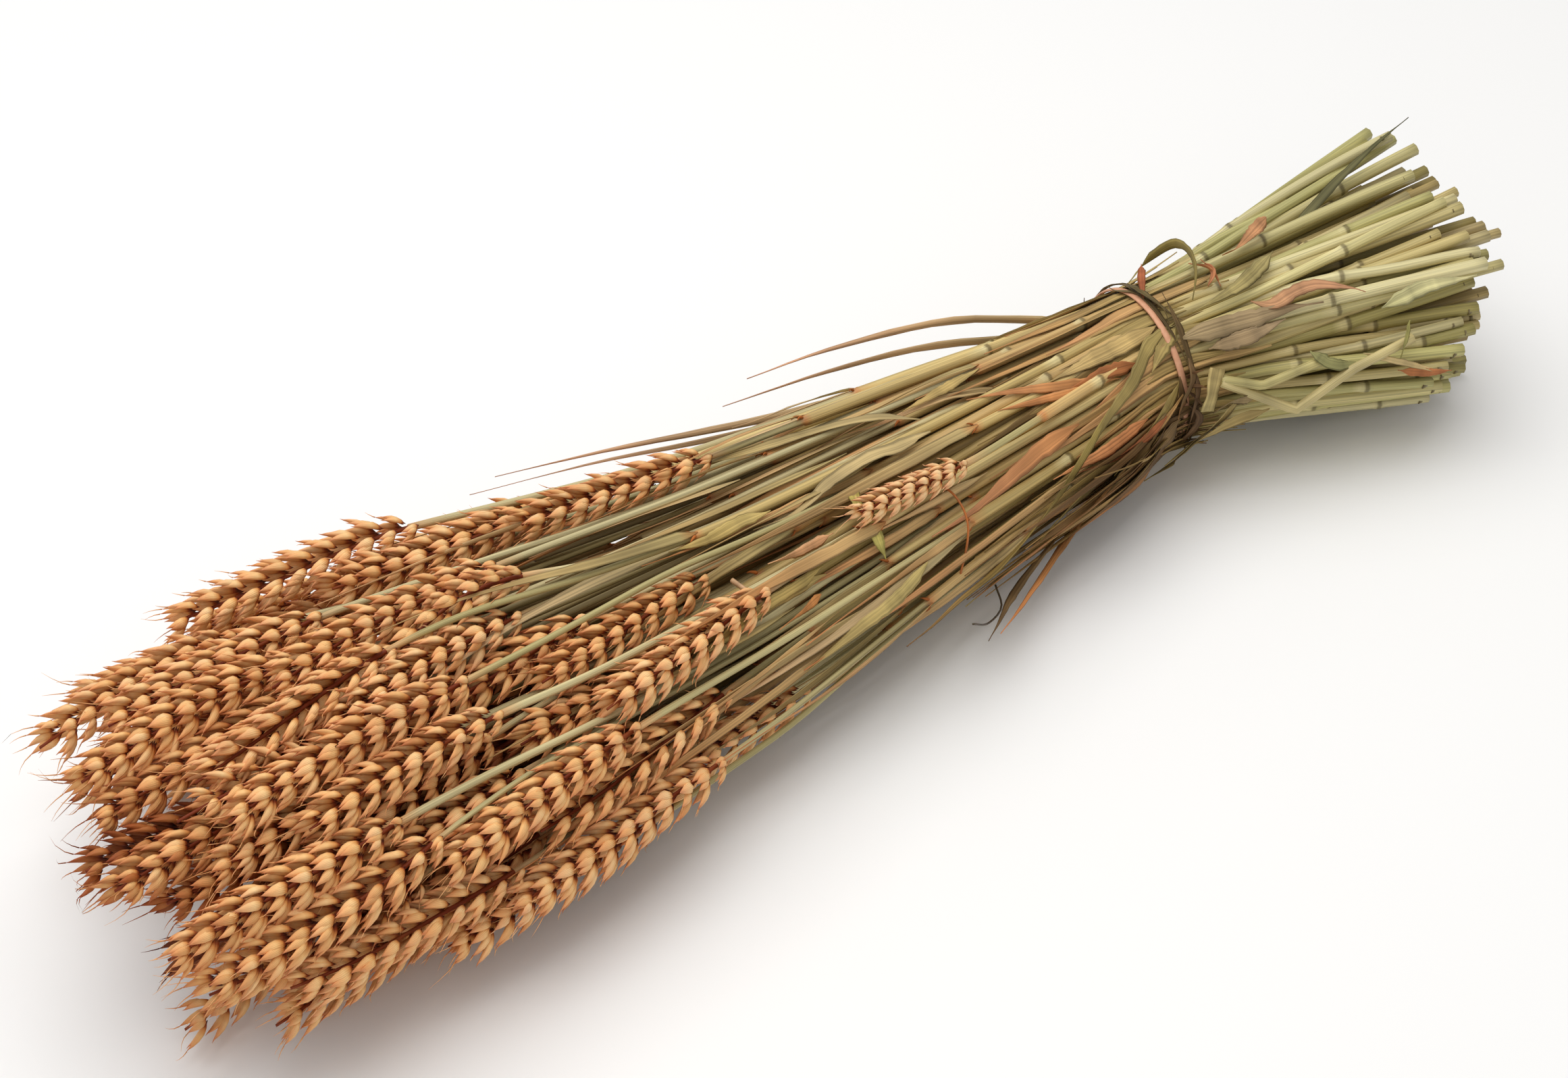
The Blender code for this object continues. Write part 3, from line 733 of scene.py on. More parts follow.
paths = [ear_path(stalk) for stalk in range(len(stalks))]
turns = np.random.default_rng(23).uniform(0, np.pi, len(stalks))
turns[:len(SHOWN)] = np.radians([row[5] for row in SHOWN])
LONE_EAR = len(SHOWN) - 1
for stalk in range(len(stalks)):
    if stalks[stalk, 5] == 0:
        continue
    fan = FAN if stalk < known else INNER_FAN
    plump, glow = 1.0, 0.0
    if stalk == LONE_EAR:
        fan, plump, glow = LONE_FAN, 1.12, 0.30
    points, quads, tris, marks = ear_arrays(
        paths[stalk], -stalks[stalk, 2], -stalks[stalk, 0], CAMERA_CLOCK + turns[stalk], 300 + stalk,
        fan, plump, glow)
    ear = put_mesh("wheat_ear_%03d" % (stalk + 1), points, quads, tris, {"husk": marks}, dyed_husk)
    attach(ear, "root")
    if stalk < known:
        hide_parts("ear_%02d" % (stalk + 1))


# Stems. Each is a hollow dried culm, wrapped in its leaf sheath from a swollen joint up to the collar where
# the blade leaves it, bare and thin from there to the ear, and cut square at the foot.

STEM_SIDES = 7
RING = np.linspace(0, 2 * np.pi, STEM_SIDES, endpoint=False) - np.pi / 2
BARE_RADIUS = 1.2
SHEATH_RADIUS = 2.0
FOOT_RADIUS = 2.3


def blend(a, b, t):
    """Mixes two rows of linear colours by t, an array."""
    return a + (b - a) * np.clip(t, 0, 1)[:, None]


def tint(colour):
    return np.array(linear(colour)[:3])


def tube(middle, out):
    """Rings of a tube: point(s, a) = middle(s) + out(s) (cos a across + sin a up), square to the path."""
    ahead = unit(np.gradient(middle, axis=0))
    across = unit(np.cross(ahead, [0, 0, 1.0]))
    up = np.cross(across, ahead)
    a = RING[None, :, None]
    return middle[:, None, :] + out[:, None, None] * (np.cos(a) * across[:, None, :] + np.sin(a) * up[:, None, :])


def tube_faces(rings, sides):
    """Quads between rings and a fan over each end, for rings that run towards the ears."""
    j = np.arange(sides)
    k = (j + 1) % sides
    quads = np.concatenate([
        np.stack([i * sides + j, (i + 1) * sides + j, (i + 1) * sides + k, i * sides + k], -1)
        for i in range(rings - 1)])
    first = np.stack([np.zeros(sides - 2, int), j[1:-1], j[2:]], -1)
    last = (rings - 1) * sides + first[:, ::-1]
    return quads, np.concatenate([first, last])


FOOT_TINTS = [tint(c) for c in ("CFC286", "D8CC96", "BEB676", "CDBC80", "ACA262", "DCD09C")]
SHEATH_TINTS = [tint(c) for c in ("CEB272", "BEA466", "D8BE7E", "B09A5C", "D2AE70")]
BARE_TINTS = [tint(c) for c in ("C6B684", "BCAE7A", "CFC08E", "B0A26C")]
JOINT_DARK = tint("54441C")
JOINT_PALE = tint("EADCA4")
COLLAR_TINT = tint("C8783A")
EAR_BASE_TINT = tint("D2A26C")
CUT_TINT = tint("E3D9AE")
# Painted shade for the inside of the hollow at each cut end, at the bottom of its 5 mm recess.
PAINTED_HOLE_SHADE = tint("6E5E38")
# Painted shade: stems and blades deep in the bunch are blended towards these shares of their colour, darker and
# browner.
PAINTED_SHADE_SHARE = np.array([0.50, 0.36, 0.22])


collars = np.random.default_rng(47).uniform(-255, -65, len(stalks))
collars = np.clip(collars, -stalks[:, 2] + 40, -30)


def stem_arrays(stalk):
    """One stem from its cut foot (x high) to the ear's base, its rings, faces, colours and fibre marks.

    The radius steps down from sheath to bare stem at the collar and swells by a fifth at each joint. A mark
    holds cos and sin of the place round the stem and the distance along it, for fibres without a seam.
    """
    rng = np.random.default_rng(700 + stalk)
    foot = feet[stalk]
    top = -stalks[stalk, 2] + (-4.0 if stalks[stalk, 5] else 0.0)
    collar = collars[stalk]
    joints = np.array([rng.uniform(35, 118), rng.uniform(-62, -12)])
    xs = np.arange(foot - 6, top + 3, -9.0)
    extra = [collar + d for d in (3.0, 0.8, 0.0, -1.5)]
    for joint in joints:
        extra += [joint + d for d in (3.2, 1.3, 0.5, -0.5, -1.3, -3.2)]
    xs = np.concatenate([xs, extra, [foot, top]])
    xs = np.sort(xs[(xs <= foot) & (xs >= top)])[::-1]
    xs = xs[np.concatenate([[True], np.diff(xs) < -0.2])]
    middle = on_path(paths[stalk], xs)
    sheathed = np.clip((xs - collar) / 1.5, 0, 1)
    along = np.clip((xs - collar) / (foot - collar), 0, 1)
    thick = rng.uniform(0.82, 1.20)
    out = BARE_RADIUS + (SHEATH_RADIUS - BARE_RADIUS) * sheathed + (FOOT_RADIUS - SHEATH_RADIUS) * along**1.5
    out = out * thick
    out = out * (1 + 0.16 * np.exp(-((xs - collar - 0.8) / 1.4) ** 2))
    for joint in joints:
        out = out * (1 + 0.22 * np.exp(-((xs - joint) / 1.8) ** 2))
    rings = tube(middle, out)
    inner = middle[0] + (rings[0] - middle[0]) * 0.55
    deep = inner - np.array([5.0, 0, 0])
    rings = np.concatenate([deep[None], inner[None], rings])
    count = len(rings)

    foot_tint = FOOT_TINTS[rng.integers(len(FOOT_TINTS))]
    sheath_tint = SHEATH_TINTS[rng.integers(len(SHEATH_TINTS))]
    bare_tint = BARE_TINTS[rng.integers(len(BARE_TINTS))]
    ones = np.ones((len(xs), 1))
    colour = blend(ones * sheath_tint, ones * foot_tint, (xs - rng.uniform(-25, 15)) / 45)
    colour = blend(colour, ones * bare_tint, 1 - sheathed)
    if stalks[stalk, 5]:
        colour = blend(colour, ones * EAR_BASE_TINT, (top + 12 - xs) / 8)
    colour = blend(colour, ones * COLLAR_TINT, 0.75 * np.exp(-((xs - collar - 1.0) / 2.0) ** 2))
    for joint in joints:
        colour = blend(colour, ones * JOINT_PALE, 0.8 * np.exp(-((xs - joint + 2.2) / 1.6) ** 2))
        colour = blend(colour, ones * JOINT_DARK, 0.95 * np.exp(-((xs - joint) / 0.9) ** 2))
    colour = colour * rng.uniform(0.82, 1.1)
    # Painted shade: darker and browner the deeper the stem lies in the bunch.
    colour = blend(colour, colour * PAINTED_SHADE_SHARE, inward(middle))
    # The deep point of each cut end takes the painted hole shade, its rim the pale cut.
    colour = np.concatenate([[PAINTED_HOLE_SHADE, CUT_TINT], colour])
    colour = np.repeat(colour, STEM_SIDES, axis=0)
    fibre = np.zeros((count, STEM_SIDES, 3))
    fibre[..., 0] = np.cos(RING)
    fibre[..., 1] = np.sin(RING)
    fibre[..., 2] = (np.concatenate([[foot, foot], xs]) / 1000 + stalk * 0.7)[:, None]
    quads, tris = tube_faces(count, STEM_SIDES)
    return rings.reshape(-1, 3), quads, tris, colour, fibre.reshape(-1, 3)


def joined(pieces):
    """Stacks (points, quads, tris, colour, fibre) of many pieces into one."""
    shifts = np.cumsum([0] + [len(piece[0]) for piece in pieces[:-1]])
    return (
        np.concatenate([piece[0] for piece in pieces]),
        np.concatenate([piece[1] + shift for piece, shift in zip(pieces, shifts)]),
        np.concatenate([piece[2] + shift for piece, shift in zip(pieces, shifts)]),
        np.concatenate([piece[3] for piece in pieces]),
        np.concatenate([piece[4] for piece in pieces]),
    )


def straw_look(name, around, along, low, high, roughness, gloss, depth):
    """Dry plant fibre: the piece's own tint, streaked by noise that is stretched along the fibre."""
    look, tree, shader = new_material(name)
    own = add_node(tree, "ShaderNodeAttribute", attribute_name="tint")
    fibre = add_node(tree, "ShaderNodeAttribute", attribute_name="fibre")
    stretched = add_node(tree, "ShaderNodeMapping", [(fibre.outputs["Vector"], "Vector")])
    stretched.inputs["Scale"].default_value = (around, around, along)
    streak = add_node(tree, "ShaderNodeTexNoise", [(stretched.outputs["Vector"], "Vector")], Scale=1.0, Detail=3.0)
    tone = add_node(tree, "ShaderNodeMapRange", [(streak.outputs["Fac"], "Value")], From_Min=0.3, From_Max=0.7)
    tone.inputs["To Min"].default_value = low
    tone.inputs["To Max"].default_value = high
    mixed = add_node(tree, "ShaderNodeMix", data_type="RGBA", blend_type="MULTIPLY")
    mixed.inputs["Factor"].default_value = 1.0
    tree.links.new(own.outputs["Color"], mixed.inputs[6])
    tree.links.new(tone.outputs["Result"], mixed.inputs[7])
    tree.links.new(mixed.outputs[2], shader.inputs["Base Color"])
    bump = add_node(tree, "ShaderNodeBump", [(streak.outputs["Fac"], "Height")], Strength=0.5, Distance=depth)
    tree.links.new(bump.outputs["Normal"], shader.inputs["Normal"])
    shader.inputs["Roughness"].default_value = roughness
    shader.inputs["Specular IOR Level"].default_value = gloss
    return look


# Wheat straw, dried in the sheath: waxy, a little shiny, with fibres about 0.5 mm wide and 60 mm long.
wheat_straw = straw_look("wheat_straw", 4.0, 16.0, 0.70, 1.18, 0.5, 0.4, 0.0003)


def put_straw(name, pieces, look):
    points, quads, tris, colour, fibre = joined(pieces)
    piece = put_mesh(name, points, quads, tris, {"tint": colour, "fibre": fibre}, look)
    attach(piece, "root")
    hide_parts("straw")
    return piece


put_straw("eared_stems", [stem_arrays(i) for i in range(known) if stalks[i, 5]], wheat_straw)
put_straw("inner_stems", [stem_arrays(i) for i in range(len(stalks)) if i >= known or not stalks[i, 5]], wheat_straw)


# Leaf blades. Long dry strips that leave the stems at their collars and lie along the bunch or hang from
# it, creased at the midrib, with dark ones pressed flat under the tie and a fringe on the near side whose dark brown is
# painted shade.

def curve(points, count):
    """`count` points evenly spaced along a Catmull-Rom curve through the given points."""
    points = np.array(points, float)
    padded = np.concatenate([[2 * points[0] - points[1]], points, [2 * points[-1] - points[-2]]])
    t = np.linspace(0, len(points) - 1, 12 * len(points))
    k = np.minimum(t.astype(int), len(points) - 2)
    f = (t - k)[:, None]
    p0, p1, p2, p3 = padded[k], padded[k + 1], padded[k + 2], padded[k + 3]
    fine = 0.5 * (2 * p1 + (p2 - p0) * f + (2 * p0 - 5 * p1 + 4 * p2 - p3) * f**2
                  + (3 * p1 - p0 - 3 * p2 + p3) * f**3)
    steps = np.concatenate([[0], np.cumsum(np.linalg.norm(np.diff(fine, axis=0), axis=1))])
    even = np.linspace(0, steps[-1], count)
    return np.stack([np.interp(even, steps, fine[:, i]) for i in range(3)], -1)


ACROSS = np.array([1.0, 0.5, 0.0, -0.5, -1.0, -0.5, 0.0, 0.5])
UNDER = np.array([0.0, 1.0, 1.0, 1.0, 0.0, -1.0, -1.0, -1.0])
BLADE_THICKNESS = 0.35


# The dye left every blade a little redder and less green than its fibre.
DYE = np.array([1.09, 1.02, 0.97])

# How a blade begins and ends: the parts of its length over which it widens and narrows, and the least
# share of its width that is left there.
ENDS = {"leaf": (0.02, 0.60, 0.06), "torn": (0.16, 0.44, 0.06), "strap": (0.02, 0.03, 1.0)}


def blade_arrays(points, width, root, tip, twist=(0.0, 0.0), crease=0.22, shape="leaf", seed=0, count=18):
    """A strip along a curve: point(s, c) = middle + c w(s) across + (crease |c| w(s) + thickness) normal.

    `across` is square to the path and to the way out of the bunch, and turns by the twist from root to tip.
    The half width w differs on the two sides of the midrib, and both edges are frayed.
    """
    rng = np.random.default_rng(4000 + seed)
    middle = curve(points, count)
    s = np.linspace(0, 1, count)
    widens, narrows, least = ENDS[shape]
    torn = rng.uniform(0, 0.6, (2, 2, 1)) * np.array([widens, 0.5 * narrows])[:, None, None]
    rise = np.clip((s - torn[0]) / widens + 0.15, least, 1) ** 0.8
    fall = np.clip((1 - torn[1] - s) / narrows + 0.05, least, 1) ** 0.85
    fray = 1 + rng.normal(0, 0.07, (2, count))
    edges = 0.5 * width * np.minimum(rise, fall) * fray
    half = np.where(ACROSS[None, :] < 0, edges[0][:, None], edges[1][:, None])
    ahead = unit(np.gradient(middle, axis=0))
    _, _, mid_y, mid_z = outline(middle[:, 0])
    out = middle - np.stack([middle[:, 0], mid_y, mid_z], -1)
    out = unit(out - (out * ahead).sum(-1)[:, None] * ahead + 1e-6)
    across = unit(np.cross(ahead, out))
    sway = 9 * np.sin(s * rng.uniform(4, 9) + rng.uniform(0, 6))
    turn = np.radians(twist[0] + (twist[1] - twist[0]) * s + sway)
    side = np.cos(turn)[:, None] * across + np.sin(turn)[:, None] * out
    normal = np.cross(side, ahead)
    c = ACROSS[None, :, None]
    w = half[:, :, None]
    rings = middle[:, None] + c * w * side[:, None]
    rings = rings + (crease * abs(c) * w + 0.5 * BLADE_THICKNESS * UNDER[None, :, None]) * normal[:, None]
    quads, tris = tube_faces(count, 8)
    colour = blend(np.ones((count, 1)) * tint(root), np.ones((count, 1)) * tint(tip), s**1.3)
    colour = colour * (1 + 0.12 * np.sin(s * 17 + seed) + rng.normal(0, 0.05, count))[:, None]
    # Painted shade: darker and browner the deeper the blade lies in the bunch.
    colour = blend(colour, colour * PAINTED_SHADE_SHARE, inward(middle))
    colour = np.repeat(colour * DYE, 8, axis=0)
    length = np.linalg.norm(np.diff(middle, axis=0), axis=1).sum()
    fibre = np.zeros((count, 8, 3))
    fibre[..., 0] = ACROSS * width / 2
    fibre[..., 2] = (s * length / 1000 + seed * 0.37)[:, None]
    return rings.reshape(-1, 3), quads, tris, colour, fibre.reshape(-1, 3)


def on_bunch(x, clock, depth):
    """A point at x, at a place round the bunch in degrees, at a depth where 1 is the outline."""
    half_y, half_z, mid_y, mid_z = outline(x)
    angle = np.radians(clock)
    z = mid_z + half_z * depth * np.sin(angle)
    return np.stack([np.asarray(x, float), mid_y + half_y * depth * np.cos(angle), np.maximum(z, 1.0)], -1)


def on_neck(x, clock, lift):
    """A point at x as above, drawn in to the round section of the neck: radius 32 mm + lift at the tie."""
    near = np.exp(-(((x - TIE_X) / 24) ** 2))
    _, _, mid_y, mid_z = outline(x)
    angle = np.radians(clock)
    round_point = np.stack([x, mid_y + (32.0 + lift) * np.cos(angle), mid_z + (32.0 + lift) * np.sin(angle)], -1)
    return round_point * near[:, None] + on_bunch(x, clock, 0.97 + lift / 33) * (1 - near[:, None])


# Dry wheat leaf: papery and matt, ribbed along its length, streaked olive and tan. The real ribs are
# about 0.4 mm apart, and these are drawn twice as coarse, so that they show.
dry_leaf = straw_look("dry_leaf", 1.3, 7.0, 0.58, 1.26, 0.7, 0.25, 0.0004)

BLADE_TINTS = (
    ("B9A676", "C29468"), ("B09E6C", "B48A5C"), ("BFA470", "C88452"),
    ("A49664", "A88656"), ("BCA06C", "C0824E"), ("BBAE80", "CCA880"),
)
NECK_TINTS = (
    ("A08E58", "8A7446"), ("B09C62", "9C8048"), ("BA9E68", "C08C5E"), ("806C40", "644E2C"), ("A6925A", "B48454"),
)

# A blade leaves each sheath's mouth with an orange root, follows its stem for a while and strays from it.
MOUTH = tint("C98A4E")


def collar_blade(stalk):
    rng = np.random.default_rng(5000 + stalk)
    length = rng.uniform(50, 150)
    s = np.linspace(0, 1, 6)
    xs = collars[stalk] + 2 - length * s
    along = on_path(paths[stalk], xs)
    _, _, mid_y, mid_z = outline(xs)
    out = unit(along - np.stack([xs, mid_y, mid_z], -1))
    around = np.cross([-1.0, 0, 0], out)
    lift = 2.0 + rng.uniform(0.3, 2.6) * np.sin(np.pi * np.minimum(s * 1.3, 1)) + rng.uniform(-1, 1.5) * s
    stray = rng.normal(0, 6) * s**1.5
    points = along + lift[:, None] * out + stray[:, None] * around
    points[:, 2] = np.maximum(points[:, 2], 1.5)
    root, tip = BLADE_TINTS[rng.integers(len(BLADE_TINTS))]
    twist = (rng.uniform(-15, 15), rng.uniform(-70, 70))
    made = blade_arrays(points, rng.uniform(2.8, 5.2), root, tip, twist, seed=1000 + stalk)
    colour = made[3].reshape(18, 8, 3)
    colour[0] = MOUTH
    return made


depths = []
for stalk in range(len(stalks)):
    y, z = on_path(paths[stalk], collars[stalk])[1:]
    half_y, half_z, mid_y, mid_z = outline(collars[stalk])
    depths.append(np.hypot((y - mid_y) / half_y, (z - mid_z) / half_z))
outer = [stalk for stalk in range(len(stalks)) if depths[stalk] > 0.55 and stalk != LONE_EAR]
put_straw("collar_blades", [collar_blade(stalk) for stalk in outer], dry_leaf)


def collar_claws(stalk):
    """Two small hooks that clasp the stem at the collar: tapered tubes bent away from it towards the ears."""
    rng = np.random.default_rng(6000 + stalk)
    x = collars[stalk]
    here = on_path(paths[stalk], x)
    _, _, mid_y, mid_z = outline(x)
    out = unit(here - np.array([x, mid_y, mid_z]))
    around = np.cross([-1.0, 0, 0], out)
    claws = []
    for turn in np.radians(rng.uniform((-75, 15), (-15, 75))):
        away = np.cos(turn) * out + np.sin(turn) * around
        size = rng.uniform(0.45, 0.95)
        steps = np.array([[0.5, 1.7, 0], [-0.8, 2.5, 0.3], [-2.2, 2.9, 1.0], [-3.2, 2.5, 1.9]]) * [size, 1, size]
        hook = here + steps[:, :1] * [1.0, 0, 0] + steps[:, 1:2] * away
        hook = hook + steps[:, 2:] * np.cross(away, [1.0, 0, 0]) * np.sign(turn)
        middle = curve(hook, 6)
        rings = tube(middle, np.array([0.55, 0.75, 0.65, 0.5, 0.35, 0.12]) * size)
        quads, tris = tube_faces(6, STEM_SIDES)
        colours = np.ones((6 * STEM_SIDES, 3)) * tint("B8682E") * rng.uniform(0.6, 1.2)
        fibre = np.zeros((6 * STEM_SIDES, 3))
        fibre[:, 2] = np.repeat(np.arange(6) / 300 + stalk, STEM_SIDES)
        claws.append((rings.reshape(-1, 3), quads, tris, colours, fibre))
    return joined(claws)


put_straw("collar_claws", [collar_claws(stalk) for stalk in outer], dry_leaf)

rng = np.random.default_rng(61)
pieces = []
for i in range(30):
    start = rng.uniform(-230, -40)
    length = rng.uniform(70, 170)
    clock = rng.uniform(20, 235) if i < 18 else rng.uniform(-120, 20)
    drift = rng.normal(0, 6)
    s = np.linspace(0, 1, 5)
    xs = start - length * s
    lifts = 1.0 + 0.035 * np.sin(s * np.pi) + rng.uniform(-0.03, 0.02) + rng.uniform(0, 0.05) * s
    clocks = clock + drift * s + rng.normal(0, 1.0) * np.sin(s * 5)
    colours = BLADE_TINTS[rng.integers(len(BLADE_TINTS))]
    twist = (rng.uniform(-30, 30), rng.uniform(-80, 80))
    pieces.append(blade_arrays(on_bunch(xs, clocks, lifts), rng.uniform(2.0, 3.8), *colours, twist,
                               shape="torn", seed=i))
put_straw("stray_blades", pieces, dry_leaf)

pieces = []
for i in range(54):
    start = rng.uniform(14, 44)
    end = rng.uniform(-120, -28)
    clock = i * 360 / 54 + rng.uniform(-4, 4)
    drift = rng.normal(0, 7)
    s = np.linspace(0, 1, 7)
    xs = start + (end - start) * s
    lifts = rng.uniform(-0.9, 0.3) + rng.uniform(0, 1.5) * np.clip(abs(xs - TIE_X) / 30 - 0.3, 0, 1)
    colours = NECK_TINTS[rng.integers(len(NECK_TINTS))]
    twist = (rng.uniform(-12, 12), rng.uniform(-30, 30))
    pieces.append(blade_arrays(on_neck(xs, clock + drift * s, lifts), rng.uniform(3.5, 6.5), *colours, twist,
                               crease=0.12, shape="torn", seed=100 + i))

# On the near side leaves hang in a thick fringe from the tie, coloured dark brown as painted shade for the shadow under
# the neck.
PAINTED_SHADE_FRINGE_TINTS = (
    ("6E5632", "8A6A40"), ("5C4628", "7A5A34"), ("8C7644", "9A7A4A"), ("7A5C38", "B07C4E"), ("94804C", "8A6E40"),
)
for i in range(26):
    start = rng.uniform(2, 22)
    end = rng.uniform(-125, -45)
    clock = rng.uniform(172, 238)
    s = np.linspace(0, 1, 7)
    xs = start + (end - start) * s
    lifts = rng.uniform(0.5, 2.5) + rng.uniform(2, 8) * np.clip(abs(xs - TIE_X) / 22 - 0.2, 0, 1)
    colours = PAINTED_SHADE_FRINGE_TINTS[rng.integers(len(PAINTED_SHADE_FRINGE_TINTS))]
    twist = (rng.uniform(-30, 30), rng.uniform(-60, 60))
    pieces.append(blade_arrays(on_neck(xs, clock + rng.normal(0, 10) * s, lifts), rng.uniform(3.0, 6.0),
                               *colours, twist, crease=0.15, shape="torn", seed=160 + i))
put_straw("neck_leaves", pieces, dry_leaf)

# Blades that stand off the bunch or hang under it, each as points in mm, width and colours.
LOOSE_BLADES = (
    ([(2, 26, 56), (-50, 52, 62), (-100, 63, 62), (-140, 67, 60)], 4.4, (-10, -60), "C2B082", "C8987A"),
    ([(2, 28, 50), (-60, 52, 54), (-110, 58, 57), (-157, 57, 60)], 4.0, (-5, -50), "BCAA78", "C49A80"),
    ([(-60, 44, 44), (-145, 59, 46), (-201, 67, 51), (-249, 70, 56)], 3.8, (-10, -55), "C2B082", "C49A80"),
    ([(-60, 45, 40), (-152, 60, 42), (-206, 67, 47), (-260, 70, 52)], 3.4, (0, -60), "BCAA78", "D0A890"),
    ([(2, 28, 38), (-40, 52, 36), (-85, 62, 26), (-125, 66, 12)], 6.0, (0, 25), "B0A066", "A98258"),
    ([(2, 8, 24), (-40, 0, 8), (-90, -10, 3), (-135, -20, 1)], 6.5, (0, 25), "A0925A", "9A7A50"),
    ([(8, 20, 26), (35, 28, 8), (65, 35, 3), (100, 40, 1)], 6.5, (0, 25), "B0A070", "B39B6C"),
    ([(80, 10, 82), (104, 17, 90), (130, 24, 96), (154, 31, 98)], 4.2, (-10, -45), "62603E", "565638"),
)
pieces = [blade_arrays(points, width, root, tip, twist, seed=200 + i)
          for i, (points, width, twist, root, tip) in enumerate(LOOSE_BLADES)]
put_straw("loose_blades", pieces, dry_leaf)


def seen_at(places):
    """Points of the bunch where the camera sees pixels of the 2322 wide photograph.

    Each place is (pixel x, pixel y, depth): the point is where that ray first meets the outline scaled by
    the depth, or comes nearest to it, so a leaf placed this way lies on the stems whatever the view.
    """
    points = []
    t = np.linspace(950, 1750, 1601)[:, None]
    for px, py, depth in places:
        ray = -BACK + RIGHT * (px - 1161) / 5135 - UP * (py - 798) / 5135
        line = LOOKED_AT + VIEW_DISTANCE * BACK + ray * t
        half_y, half_z, mid_y, mid_z = outline(line[:, 0])
        away = np.hypot((line[:, 1] - mid_y) / half_y, (line[:, 2] - mid_z) / half_z)
        away = np.where(line[:, 2] < 1.0, 9.0, away)
        inside = np.nonzero(away <= depth)[0]
        points.append(line[inside[0]] if len(inside) else line[away.argmin()])
    return np.array(points)
